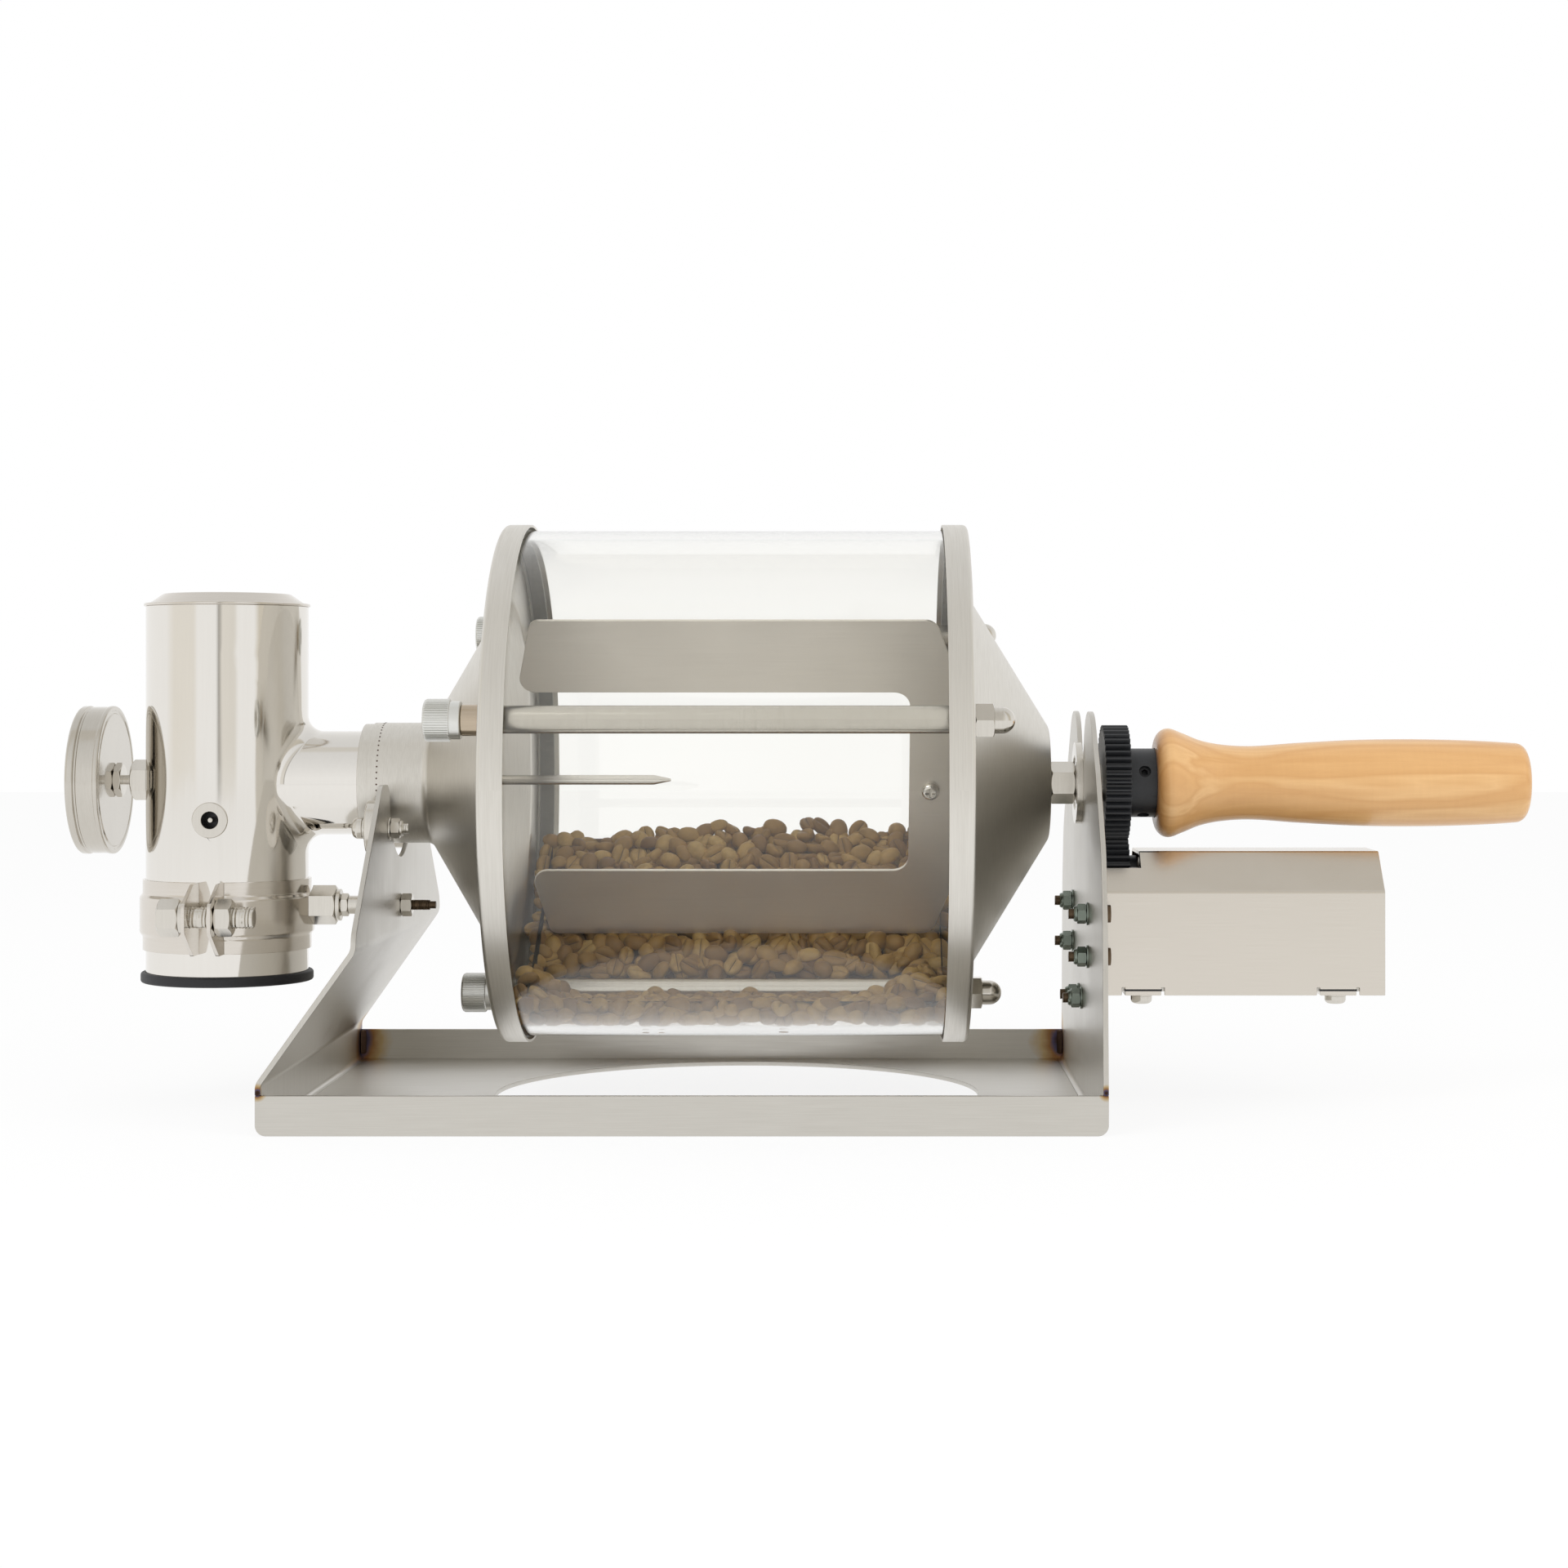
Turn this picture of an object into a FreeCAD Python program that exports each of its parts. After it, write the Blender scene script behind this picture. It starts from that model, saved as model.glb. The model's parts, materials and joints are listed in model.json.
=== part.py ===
import FreeCAD, Part
import math
import os

from FreeCAD import Placement, Rotation, Vector

# A glass-drum coffee bean roaster that stands over a gas burner.
# Millimetres. The origin is the centre of the burner hole on the tray's
# underside, +X runs along the drum towards the handle, +Z is up.

# ---------------------------------------------------------------- sizes

# Tray and uprights, folded from one gauge of sheet
frame_sheet = 2.0
tray_left = -174.0
tray_right = 142.0
tray_depth = 220.0
tray_wall_height = 15.0
tray_bend = 4.0
burner_rim = 12.0
weld_leg = 2.6

# Left upright: a low wall, a slope and a plate that carries two rollers
left_plate_x = -139.0
slope_bottom_z = 19.2
slope_top_z = 68.5
slope_bend = 6.0
left_shoulder_z = 74.0
left_shoulder_half = 107.0
left_prong_half = 47.0
left_prong_top_z = 128.0
left_prong_round = 6.0
neck_cutout_radius = 30.0

# Right upright: a plate with an open slot for the bearing carrier
right_shoulder_z = 80.0
right_shoulder_half = 105.0
right_waist_z = 105.0
right_waist_half = 98.0
right_elbow_z = 133.0
right_elbow_half = 74.0
right_prong_half = 46.6
right_prong_top_z = 157.0
right_prong_round = 24.0

# Drum
axis_z = 127.8
drum_sheet = 1.0
rim_radius = 105.0
rim_width = 10.0
rim_face_x = 93.2
cone_mouth_inset_left = 15.0
cone_mouth_inset_right = 13.0
cone_corner = 1.6
neck_radius = 24.5
neck_start_x = -123.6
neck_seam_run = 1.4
neck_end_x = -147.3
neck_lip_x = -151.4
neck_lip_radius = 24.0
neck_lining = 1.0
neck_lining_end_x = -135.0
cone_end_radius = 22.7
cone_end_round = 5.0
cone_end_x = 126.7
glass_rim_gap = 1.5
glass_wall = 3.5
gasket_thickness = 1.2
gasket_lip = 7.0

# Three tie rods clamp the two caps onto the glass
tie_count = 3
tie_glass_gap = 3.75
tie_first_angle = 16.8
tie_tube_radius = 5.25
tie_stud_radius = 4.0
tie_clearance = 0.2
spacer_radius = 6.0
spacer_length = 7.5
knob_collar_radius = 7.25
knob_collar_length = 4.0
knob_radius = 8.1
knob_length = 10.1
knob_ridges = 48
knob_ridge_depth = 0.35
knob_chamfer = 0.8
knob_thread_depth = 10.0
acorn_across_flats = 12.5
acorn_hex_length = 7.5
acorn_dome_radius = 5.0
acorn_length = 15.5
acorn_thread_depth = 10.5

# Paddles: two L-shaped plates back to back on a plane through the axis
paddle_tilt = 31.0
paddle_sheet = 1.5
paddle_inner = 43.5
paddle_glass_gap = 23.0
paddle_left_inner_x = -87.0
paddle_left_outer_x = -80.0
paddle_web_x = 70.0
paddle_right_outer_x = 80.0
paddle_right_inner_x = 91.0
paddle_throat_x = 100.0
paddle_throat_half = 14.0
paddle_tongue_x = 114.0
paddle_tongue_half = 9.0
paddle_lap = 7.6
paddle_screw_x = 78.7
paddle_screw_out = -2.9
paddle_screw_head_radius = 3.7
paddle_cross_screw_x = 108.0

# Drum shaft and the flanged ball bearing it runs in
shaft_radius = 5.0
shaft_start_x = 100.0
shaft_end_x = 300.0
shaft_nut_across_flats = 15.0
shaft_inner_nut_length = 6.5
shaft_washer_radius = 8.8
shaft_washer = 0.8
slot_clearance = 0.1
bearing_radius = 13.0
bearing_width = 8.0
bearing_flange_radius = 16.6
bearing_flange = 2.5
bearing_outer_wall = 1.9
bearing_inner_wall = 2.0
bearing_ball_radius = 2.3
bearing_ball_play = 0.3
bearing_ball_count = 7
bearing_shield = 0.5
bearing_shield_gap = 0.4
gear_spacer_radius = 8.0

# Gear pair, module 1
gear_module = 1.0
gear_teeth = 45
pinion_teeth = 30
gear_face_x = 148.6
gear_face_width = 10.3
gear_hub_radius = 14.0
gear_hub_length = 13.1
gear_backlash = 0.08
gear_centre_play = 0.1
set_screw_radius = 2.4
set_screw_x = 165.0
set_screw_angles = (21.0, -69.0)
set_screw_sink = 1.6
set_screw_socket = 2.5

# Turned wooden handle
handle_socket_depth = 2.0
handle_face_radius = 16.0
handle_bead_offset = 5.5
handle_bead_radius = 22.2
handle_waist = ((0.0, handle_bead_radius), (5.5, 20.4), (13.0, 17.4), (22.0, 15.6), (34.0, 15.0),
                (53.0, 16.3), (80.0, 17.6), (112.0, 17.6))
handle_end_radius = 16.2
handle_length = 151.4
handle_end_round = 4.5

# Geared motor under a folded cover
flange_half = 46.0
flange_bottom_z = 36.0
flange_top_z = 86.0
flange_corner = 4.0
shelf_top_z = 47.5
cover_sheet = 1.5
cover_half = 30.0
cover_corner = 2.0
cover_bottom_z = 44.0
cover_top_z = 100.7
cover_chamfer = 15.4
cover_end_x = 258.9
cover_notch_x = 162.4
cover_notch_z = 94.4
cover_tab_width = 14.5
cover_tab_depth = 15.0
cover_tab_slit = 1.2
cover_tab_rise = 3.2
cover_tab_xs = (162.6, 240.2)
cover_screw_y = 22.0
motor_plate_x = 164.5
motor_plate_half = 26.0
motor_plate_top_z = 97.0
motor_foot_end_x = 222.0
motor_foot_half = 20.0
foot_screw_xs = (187.5, 214.7)
foot_screw_head_radius = 3.6
foot_screw_head_height = 2.4
gearbox_radius = 16.0
gearbox_length = 24.0
gearbox_drop = 7.6
gearbox_boss_radius = 6.0
motor_can_radius = 13.7
motor_can_length = 36.0
motor_tail_radius = 5.0
motor_tail_length = 3.0
spindle_radius = 3.0
spindle_end_x = 171.0
spindle_clearance = 0.05
pinion_hub_radius = 8.0
pinion_hub_length = 3.6
gearbox_screw_y = 12.0
gearbox_screw_drop = 8.0
gearbox_screw_bite = 5.0
plate_bolt_half = 39.0
plate_bolt_zs = (77.2, 60.3)
low_bolt_half = 7.5
low_bolt_clearance = 0.1

# Small screws and nuts, M4 and M3
m4_radius = 2.0
m4_head_radius = 4.25
m4_head_height = 3.1
m4_washer_radius = 4.5
m4_washer = 0.8
m4_nut_across_flats = 7.0
m4_nut_height = 5.0
m4_thread_past_nut = 2.0
cap_head_radius = 3.5
cap_head_height = 4.0
cap_head_socket = 3.0
m3_radius = 1.5
m3_head_radius = 2.8
m3_head_height = 2.0
m3_nut_across_flats = 5.5
m3_nut_height = 2.4

# Rollers under the drum neck
roller_radius = 11.0
roller_width = 5.6
roller_side_play = 0.1
roller_bore_play = 0.05
roller_neck_gap = 0.3
roller_angle = 61.3
roller_head_height = 4.1
spring_washer = 1.1
spring_washer_radius = 3.8

# Chaff tube: a tee whose branch reaches into the drum neck
tee_x = -208.0
tee_radius = 32.5
tee_wall = 1.5
tee_top_z = 199.6
tee_bottom_z = 49.3
tee_fillet = 7.0
branch_radius = 21.1
branch_end_x = -125.0
lid_radius = 33.25
lid_sheet = 1.2
lid_dome_base_radius = 31.0
lid_dome_radius = 25.5
lid_dome_height = 3.9
lid_skirt_depth = 11.6
lid_play = 0.4
ring_bottom_z = 47.3
ring_top_z = 51.4
ring_radius = 34.5
ring_bore_radius = 29.5

# Fan in the foot of the tube
fan_bottom_z = 64.0
fan_height = 16.0
fan_frame_wall = 1.4
fan_base = 2.0
fan_hub_radius = 10.8
fan_blade_radius = 28.6
fan_blade_count = 7
fan_blade_chord = 12.0
fan_blade_pitch = 38.0
fan_blade_thickness = 1.2
fan_strut_width = 3.0
fan_strut_count = 3
fan_pin_radius = 1.5
fan_pin_play = 0.05

# Round DC sockets on the tube and on the motor cover
jack_flange_radius = 7.15
jack_flange = 1.4
jack_body_radius = 5.5
jack_body_length = 10.0
jack_hole_radius = 3.4
jack_hole_depth = 8.5
jack_pin_radius = 1.1
fan_jack_z = 113.8
motor_jack_x = 236.0
motor_jack_z = 70.0

# Band clamp round the tube, with its bolt and the stud to the upright
band_sheet = 1.2
band_bottom_z = 60.5
band_top_z = 89.0
band_edge_height = 5.6
band_bulge = 1.2
band_bulge_run = 1.6
clamp_bolt_z = 76.2
clamp_bolt_y = -47.0
clamp_gap = 8.6
clamp_ear_thickness = 1.5
clamp_ear_root_y = -41.5
clamp_ear_tip_y = -57.5
clamp_ear_tip_half = 5.4
clamp_bolt_radius = 4.0
clamp_bolt_across_flats = 13.0
clamp_bolt_head = 8.4
clamp_washer = 2.4
clamp_washer_radius = 6.4
clamp_nut_length = 6.6
clamp_bolt_past_nut = 8.2
stud_z = 78.0
stud_radius = 2.0
stud_end_x = -123.0
stud_tip_radius = 1.5
stud_tip_length = 2.4
stud_hole_play = 0.3
boss_across_flats = 14.0
boss_end_x = -163.2
boss_washer_radius = 6.5
boss_washer = 1.6
lock_nut_across_flats = 8.2
lock_nut_height = 3.2
stud_spacer_radius = 3.75
plate_nut_height = 4.5

# Bimetal thermometer through the tube and the branch
probe_z = 129.0
probe_radius = 2.0
probe_play = 0.05
probe_tip_x = -27.0
probe_tip_length = 7.0
probe_tip_radius = 0.5
probe_hex_across_flats = 12.2
probe_hex_length = 3.2
gauge_radius = 30.15
gauge_front_x = -266.7
gauge_back_x = -253.6
gauge_wall = 1.2
gauge_back_wall = 1.5
gauge_bezel_radius = 27.2
gauge_bezel = 1.4
gauge_glass = 1.8
gauge_dial = 0.8
gauge_dial_gap = 1.6
gauge_seat_width = 4.0
pointer_length = 22.0
pointer_tail = 8.0
pointer_width = 2.4
pointer_thickness = 0.6
pointer_gap = 1.2
pointer_boss_radius = 2.6
pointer_pin_radius = 0.8
pointer_pin_play = 0.1
pointer_rest_angle = -135.0
gland_across_flats = 14.4
gland_hex_x = -246.4
gland_thread_radius = 4.0
gland_nut_across_flats = 11.0
gland_nut_length = 4.0

# ---------------------------------------------------------------- helpers

across_to_corner = 2 / math.sqrt(3)
no_round = 0.0


def flat(u, v):
    """A point of a flat outline before it is stood up."""
    return Vector(u, v, 0)


def polar(radius, degrees):
    """Y and Z offsets at an angle that starts at -Y and turns towards +Z."""
    turn = math.radians(degrees)
    return -radius * math.cos(turn), radius * math.sin(turn)


def rounded_path(points, radii):
    """Edges of an open line whose inner corners have tangent arcs."""
    edges = []
    here = points[0]
    for before, corner, after, radius in zip(points, points[1:], points[2:], radii):
        if radius <= 0:
            edges.append(Part.makeLine(here, corner))
            here = corner
            continue
        back = (before - corner).normalize()
        onward = (after - corner).normalize()
        half = back.getAngle(onward) / 2
        if half > math.radians(89.9):
            continue
        reach = radius / math.tan(half)
        start = corner + back * reach
        end = corner + onward * reach
        middle = corner + (back + onward).normalize() * (radius / math.sin(half) - radius)
        if (start - here).Length > 1e-6:
            edges.append(Part.makeLine(here, start))
        edges.append(Part.Arc(start, middle, end).toShape())
        here = end
    if (points[-1] - here).Length > 1e-6:
        edges.append(Part.makeLine(here, points[-1]))
    return edges


def outline(corners):
    """Face of a closed outline of (u, v, corner radius) triples."""
    points = [flat(u, v) for u, v, _ in corners]
    radii = [radius for _, _, radius in corners]
    middle = (points[-1] + points[0]) * 0.5
    return Part.Face(Part.Wire(rounded_path([middle] + points + [middle], radii)))


def polygon(points):
    """Face of a closed outline with sharp corners."""
    return Part.Face(Part.makePolygon([flat(u, v) for u, v in points] + [flat(*points[0])]))


def beside(points, gap):
    """Mitred copy of an open line, gap to its left."""
    copy = []
    for index, point in enumerate(points):
        normals = []
        for a, b in ((index - 1, index), (index, index + 1)):
            if a >= 0 and b < len(points):
                run = (points[b] - points[a]).normalize()
                normals.append(Vector(-run.y, run.x, 0))
        first, last = normals[0], normals[-1]
        copy.append(point + (first + last) * (gap / (1 + first.dot(last))))
    return copy


def folded_sheet(corners, thickness):
    """Section of a sheet along a line; the wall lies to the line's left."""
    points = [flat(u, v) for u, v, _ in corners]
    radii = [radius for _, _, radius in corners[1:-1]]
    inner_radii = []
    for before, corner, after, radius in zip(points, points[1:], points[2:], radii):
        turn = (corner - before).cross(after - corner).z
        change = -thickness if turn > 0 else thickness
        inner_radii.append(max(radius + change, 0.0) if radius > 0 else 0.0)
    inner = beside(points, thickness)
    edges = rounded_path(points, radii) + [Part.makeLine(points[-1], inner[-1])]
    edges += rounded_path(inner[::-1], inner_radii[::-1]) + [Part.makeLine(inner[0], points[0])]
    return Part.Face(Part.Wire(Part.__sortEdges__(edges)))


def moved(shape, x=0.0, y=0.0, z=0.0):
    return shape.translated(Vector(x, y, z))


def extrude_x(face, start, end):
    """Stand a (Y, Z) outline up and extrude it along X."""
    face = face.copy()
    face.Placement = Placement(Vector(start, 0, 0), Rotation(Vector(1, 1, 1), 120))
    return face.extrude(Vector(end - start, 0, 0))


def extrude_y(face, start, end):
    """Stand an (X, Z) outline up and extrude it along Y."""
    face = face.copy()
    face.Placement = Placement(Vector(0, start, 0), Rotation(Vector(1, 0, 0), 90))
    return face.extrude(Vector(0, end - start, 0))


def extrude_z(face, start, end):
    """Extrude an (X, Y) outline along Z."""
    return moved(face, z=start).extrude(Vector(0, 0, end - start))


def turned_x(face, y=0.0, z=axis_z):
    """Turn an (X, radius) section about a line along X."""
    face = face.copy()
    face.Placement = Placement(Vector(0, y, z), Rotation(Vector(1, 0, 0), 90))
    return face.revolve(Vector(0, y, z), Vector(1, 0, 0), 360)


def turned_z(face, x, y=0.0):
    """Turn a (radius, Z) section about a line along Z."""
    face = face.copy()
    face.Placement = Placement(Vector(x, y, 0), Rotation(Vector(1, 0, 0), 90))
    return face.revolve(Vector(x, y, 0), Vector(0, 0, 1), 360)


def box(x0, x1, y0, y1, z0, z1):
    return Part.makeBox(x1 - x0, y1 - y0, z1 - z0, Vector(x0, y0, z0))


def rod(radius, start, end):
    run = end - start
    return Part.makeCylinder(radius, run.Length, start, run)


def rod_x(radius, x0, x1, y=0.0, z=axis_z):
    return rod(radius, Vector(x0, y, z), Vector(x1, y, z))


def ring_x(outer, inner, x0, x1, y=0.0, z=axis_z):
    return rod_x(outer, x0, x1, y, z).cut(rod_x(inner, x0, x1, y, z))


def rod_z(radius, z0, z1, x, y=0.0):
    return rod(radius, Vector(x, y, z0), Vector(x, y, z1))


def ring_z(outer, inner, z0, z1, x, y=0.0):
    return rod_z(outer, z0, z1, x, y).cut(rod_z(inner, z0, z1, x, y))


def group(solids):
    return Part.makeCompound(solids)


def hexagon(across_flats):
    """Hexagon with a corner pointing up."""
    corner = across_flats / 2 * across_to_corner
    return polygon([(corner * math.sin(math.radians(60 * k)), corner * math.cos(math.radians(60 * k)))
                    for k in range(6)])


def hex_bar(across_flats, x0, x1, y=0.0, z=axis_z):
    """Hexagonal bar along X whose end corners are chamfered."""
    bar = moved(extrude_x(hexagon(across_flats), x0, x1), y=y, z=z)
    corner = across_flats / 2 * across_to_corner
    fall = (corner - across_flats * 0.49) * math.tan(math.radians(30))
    profile = polygon([(x0, 0), (x0, across_flats * 0.49), (x0 + fall, corner),
                       (x1 - fall, corner), (x1, across_flats * 0.49), (x1, 0)])
    return bar.common(turned_x(profile, y, z))


def nut_x(across_flats, bore, x0, x1, y=0.0, z=axis_z):
    return hex_bar(across_flats, x0, x1, y, z).cut(rod_x(bore, x0, x1, y, z))


def pan_screw(head_radius, head_height, shank_radius, length):
    """Cross-recess pan-head screw: head above Z = 0, shank below."""
    round_over = head_height * 0.6
    profile = outline([(0, 0, no_round), (head_radius, 0, no_round),
                       (head_radius, head_height, round_over), (0, head_height, no_round)])
    head = turned_z(profile, 0)
    arm = head_radius * 0.55
    slot = head_radius * 0.13
    depth = head_height * 0.5
    for u, v in ((arm, slot), (slot, arm)):
        head = head.cut(box(-u, u, -v, v, head_height - depth, head_height))
    return head.fuse(rod_z(shank_radius, -length, 0, 0)).removeSplitter()


def aimed(shape, seat, towards):
    """Put a screw made along +Z on its seat, head towards a direction."""
    shape = shape.copy()
    shape.Placement = Placement(seat, Rotation(Vector(0, 0, 1), towards))
    return shape


def gear_face(teeth):
    """Involute spur gear outline of the common module, one tooth on +V."""
    pitch = gear_module * teeth / 2
    base = pitch * math.cos(math.radians(20))
    root = pitch - 1.25 * gear_module
    tip = pitch + gear_module

    def involute(radius):
        lean = math.acos(min(base / radius, 1.0))
        return math.tan(lean) - lean

    def half_angle(radius):
        thickness = math.pi / (2 * teeth) - gear_backlash / 2 / pitch
        return thickness + involute(pitch) - involute(max(radius, base))

    radii = (root, max(base, root + 0.3 * gear_module), pitch, tip)
    points = []
    for tooth in range(teeth):
        centre = math.radians(90) - 2 * math.pi * tooth / teeth
        flank = [(radius, half_angle(radius)) for radius in radii]
        for radius, half in flank:
            points.append((radius * math.cos(centre + half), radius * math.sin(centre + half)))
        for radius, half in flank[::-1]:
            points.append((radius * math.cos(centre - half), radius * math.sin(centre - half)))
    return polygon(points)


parts = {}

# ---------------------------------------------------------------- tray and uprights

half_depth = tray_depth / 2
burner_radius = half_depth - burner_rim
inside_depth = half_depth - frame_sheet

tray_floor = box(tray_left + tray_bend, tray_right - tray_bend, -inside_depth, inside_depth, 0, frame_sheet)
parts["tray_floor"] = tray_floor.cut(rod_z(burner_radius, 0, frame_sheet, 0))

tray_wall = outline([(tray_left, 0, tray_bend), (tray_right, 0, tray_bend),
                     (tray_right, tray_wall_height, no_round), (tray_left, tray_wall_height, no_round)])
front_wall = extrude_y(tray_wall, -half_depth, -inside_depth)
rear_wall = extrude_y(tray_wall, inside_depth, half_depth)
parts["tray_walls"] = group([front_wall, rear_wall])


def mirrored(corners):
    """Full outline from the corners of its +Y half, bottom to top."""
    return outline(corners + [(-y, z, radius) for y, z, radius in corners[::-1]])


def stand_upright(section, plate_outline):
    """Extrude a bent section along Y, trim it and clear the tray walls."""
    sheet = extrude_y(section, -half_depth, half_depth)
    sheet = sheet.common(extrude_x(plate_outline, tray_left, tray_right))
    return sheet.cut(front_wall).cut(rear_wall)


left_plate_inner_x = left_plate_x + frame_sheet
left_section = folded_sheet(
    [(left_plate_x, left_prong_top_z, no_round), (left_plate_x, slope_top_z, slope_bend),
     (tray_left, slope_bottom_z, slope_bend), (tray_left, 0, tray_bend),
     (tray_left + tray_bend, 0, no_round)], frame_sheet)
left_upright = stand_upright(left_section, mirrored(
    [(half_depth, 0, no_round), (half_depth, slope_bottom_z, no_round),
     (left_shoulder_half, left_shoulder_z, 8.0), (left_prong_half, left_prong_top_z, 8.5)]))
left_upright = left_upright.cut(rod_x(neck_cutout_radius, left_plate_x, left_plate_inner_x))
prong_corners = [edge for edge in left_upright.Edges
                 if edge.BoundBox.XLength > frame_sheet / 2 and edge.BoundBox.YLength < 0.01
                 and edge.BoundBox.ZMin > left_prong_top_z - 0.01
                 and abs(edge.BoundBox.YMin) < neck_cutout_radius + 0.5]
left_upright = left_upright.makeFillet(left_prong_round, prong_corners)

roller_circle = neck_radius + roller_neck_gap + roller_radius
roller_turn = math.radians(roller_angle)
roller_z = axis_z - roller_circle * math.cos(roller_turn)
roller_places = [(side * roller_circle * math.sin(roller_turn), roller_z) for side in (-1, 1)]
for y, z in roller_places:
    left_upright = left_upright.cut(rod_x(m4_radius, left_plate_x, left_plate_inner_x, y, z))
parts["left_upright"] = left_upright.cut(
    rod_x(stud_radius + stud_hole_play, left_plate_x, left_plate_inner_x, 0, stud_z))

right_plate_inner_x = tray_right - frame_sheet
shelf_bottom_z = shelf_top_z - frame_sheet
low_bolt_z = shelf_bottom_z - m4_washer_radius - low_bolt_clearance
plate_bolts = [(side * half, z) for side in (-1, 1)
               for half, z in [(plate_bolt_half, z) for z in plate_bolt_zs] + [(low_bolt_half, low_bolt_z)]]
right_section = folded_sheet(
    [(tray_right - tray_bend, 0, no_round), (tray_right, 0, tray_bend),
     (tray_right, right_prong_top_z, no_round)], frame_sheet)
slot_half = bearing_radius + slot_clearance
right_upright = stand_upright(right_section, mirrored(
    [(half_depth, 0, no_round), (half_depth, tray_wall_height, no_round),
     (right_shoulder_half, right_shoulder_z, 40.0), (right_waist_half, right_waist_z, 24.0),
     (right_elbow_half, right_elbow_z, 20.0), (right_prong_half, right_prong_top_z, right_prong_round),
     (slot_half, right_prong_top_z, right_prong_round - 1), (slot_half, axis_z, no_round)]))
right_upright = right_upright.cut(rod_x(slot_half, right_plate_inner_x, tray_right))
for y, z in plate_bolts:
    right_upright = right_upright.cut(rod_x(m4_radius, right_plate_inner_x, tray_right, y, z))
parts["right_upright"] = right_upright

weld_beads = []
for corner_x, inwards in ((tray_left + frame_sheet, 1), (tray_right - frame_sheet, -1)):
    for side in (-1, 1):
        y = side * inside_depth
        bead = polygon([(corner_x, y), (corner_x + inwards * weld_leg, y), (corner_x, y - side * weld_leg)])
        weld_beads.append(extrude_z(bead, tray_bend, tray_wall_height))
parts["corner_welds"] = group(weld_beads)

# ---------------------------------------------------------------- rollers

roller_inner_x = left_plate_x - m4_washer - roller_side_play
roller_outer_x = roller_inner_x - roller_width
outer_washer_x = roller_outer_x - roller_side_play
spring_washer_x = outer_washer_x - m4_washer
roller_head_x = spring_washer_x - spring_washer
roller_nut_x = left_plate_inner_x + m4_washer
roller_bolt_end_x = roller_nut_x + m4_nut_height + m4_thread_past_nut

roller_bolts, roller_nuts = [], []
for name, (y, z) in zip(("front_roller", "rear_roller"), roller_places):
    bore = m4_radius + roller_bore_play
    parts[name] = turned_x(outline(
        [(roller_outer_x, bore, no_round), (roller_outer_x, roller_radius, 0.8),
         (roller_inner_x, roller_radius, 0.8), (roller_inner_x, bore, no_round)]), y, z)
    screw = pan_screw(m4_head_radius, roller_head_height, m4_radius, roller_bolt_end_x - roller_head_x)
    roller_bolts.append(aimed(screw, Vector(roller_head_x, y, z), Vector(-1, 0, 0)))
    roller_bolts.append(ring_x(spring_washer_radius, m4_radius, roller_head_x, spring_washer_x, y, z))
    for x in (left_plate_x, outer_washer_x):
        roller_bolts.append(ring_x(m4_washer_radius, m4_radius, x - m4_washer, x, y, z))
    roller_nuts.append(ring_x(m4_washer_radius, m4_radius, left_plate_inner_x, roller_nut_x, y, z))
    roller_nuts.append(nut_x(m4_nut_across_flats, m4_radius,
                             roller_nut_x, roller_nut_x + m4_nut_height, y, z))
parts["roller_bolts"] = group(roller_bolts)
parts["roller_nuts"] = group(roller_nuts)

# ---------------------------------------------------------------- drum

glass_radius = rim_radius - drum_sheet - glass_rim_gap
glass_inner = glass_radius - glass_wall
tie_circle_radius = glass_inner - tie_glass_gap - tie_tube_radius
cone_mouth_radius_left = tie_circle_radius - cone_mouth_inset_left
cone_mouth_radius_right = tie_circle_radius - cone_mouth_inset_right
paddle_outer = glass_inner - paddle_glass_gap

tie_places = []
for index in range(tie_count):
    y, z = polar(tie_circle_radius, tie_first_angle + index * 360 / tie_count)
    tie_places.append((y, axis_z + z))
tie_hole = tie_stud_radius + tie_clearance
cap_inner_x = rim_face_x - drum_sheet


def spun_cap(corners, side):
    """A cap spun from one sheet and drilled for the tie rods."""
    cap = turned_x(folded_sheet(corners, drum_sheet))
    for y, z in tie_places:
        cap = cap.cut(rod_x(tie_hole, *sorted((side * cap_inner_x, side * rim_face_x)), y, z))
    return cap


parts["left_cap"] = spun_cap(
    [(-rim_face_x + rim_width, rim_radius, no_round), (-rim_face_x, rim_radius, cone_corner),
     (-rim_face_x, cone_mouth_radius_left, cone_corner), (neck_start_x, neck_radius, cone_corner),
     (neck_start_x - neck_seam_run, neck_radius, no_round)], -1)
parts["left_neck"] = ring_x(neck_radius, neck_radius - drum_sheet, neck_end_x, neck_start_x - neck_seam_run)
parts["right_cap"] = spun_cap(
    [(cone_end_x, shaft_radius, no_round), (cone_end_x, cone_end_radius, cone_end_round),
     (rim_face_x, cone_mouth_radius_right, cone_corner), (rim_face_x, rim_radius, cone_corner),
     (rim_face_x - rim_width, rim_radius, no_round)], 1)

lining_outer = neck_radius - drum_sheet
lining_inner = lining_outer - neck_lining
parts["neck_lining"] = turned_x(polygon(
    [(neck_lining_end_x, lining_inner), (neck_lining_end_x, lining_outer), (neck_end_x, lining_outer),
     (neck_end_x, neck_lip_radius), (neck_lip_x, neck_lip_radius), (neck_lip_x, lining_inner)]))

glass_end_x = cap_inner_x - gasket_thickness
parts["glass_cylinder"] = turned_x(outline(
    [(-glass_end_x, glass_inner, 0.6), (-glass_end_x, glass_radius, 0.6),
     (glass_end_x, glass_radius, 0.6), (glass_end_x, glass_inner, 0.6)]))

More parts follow.
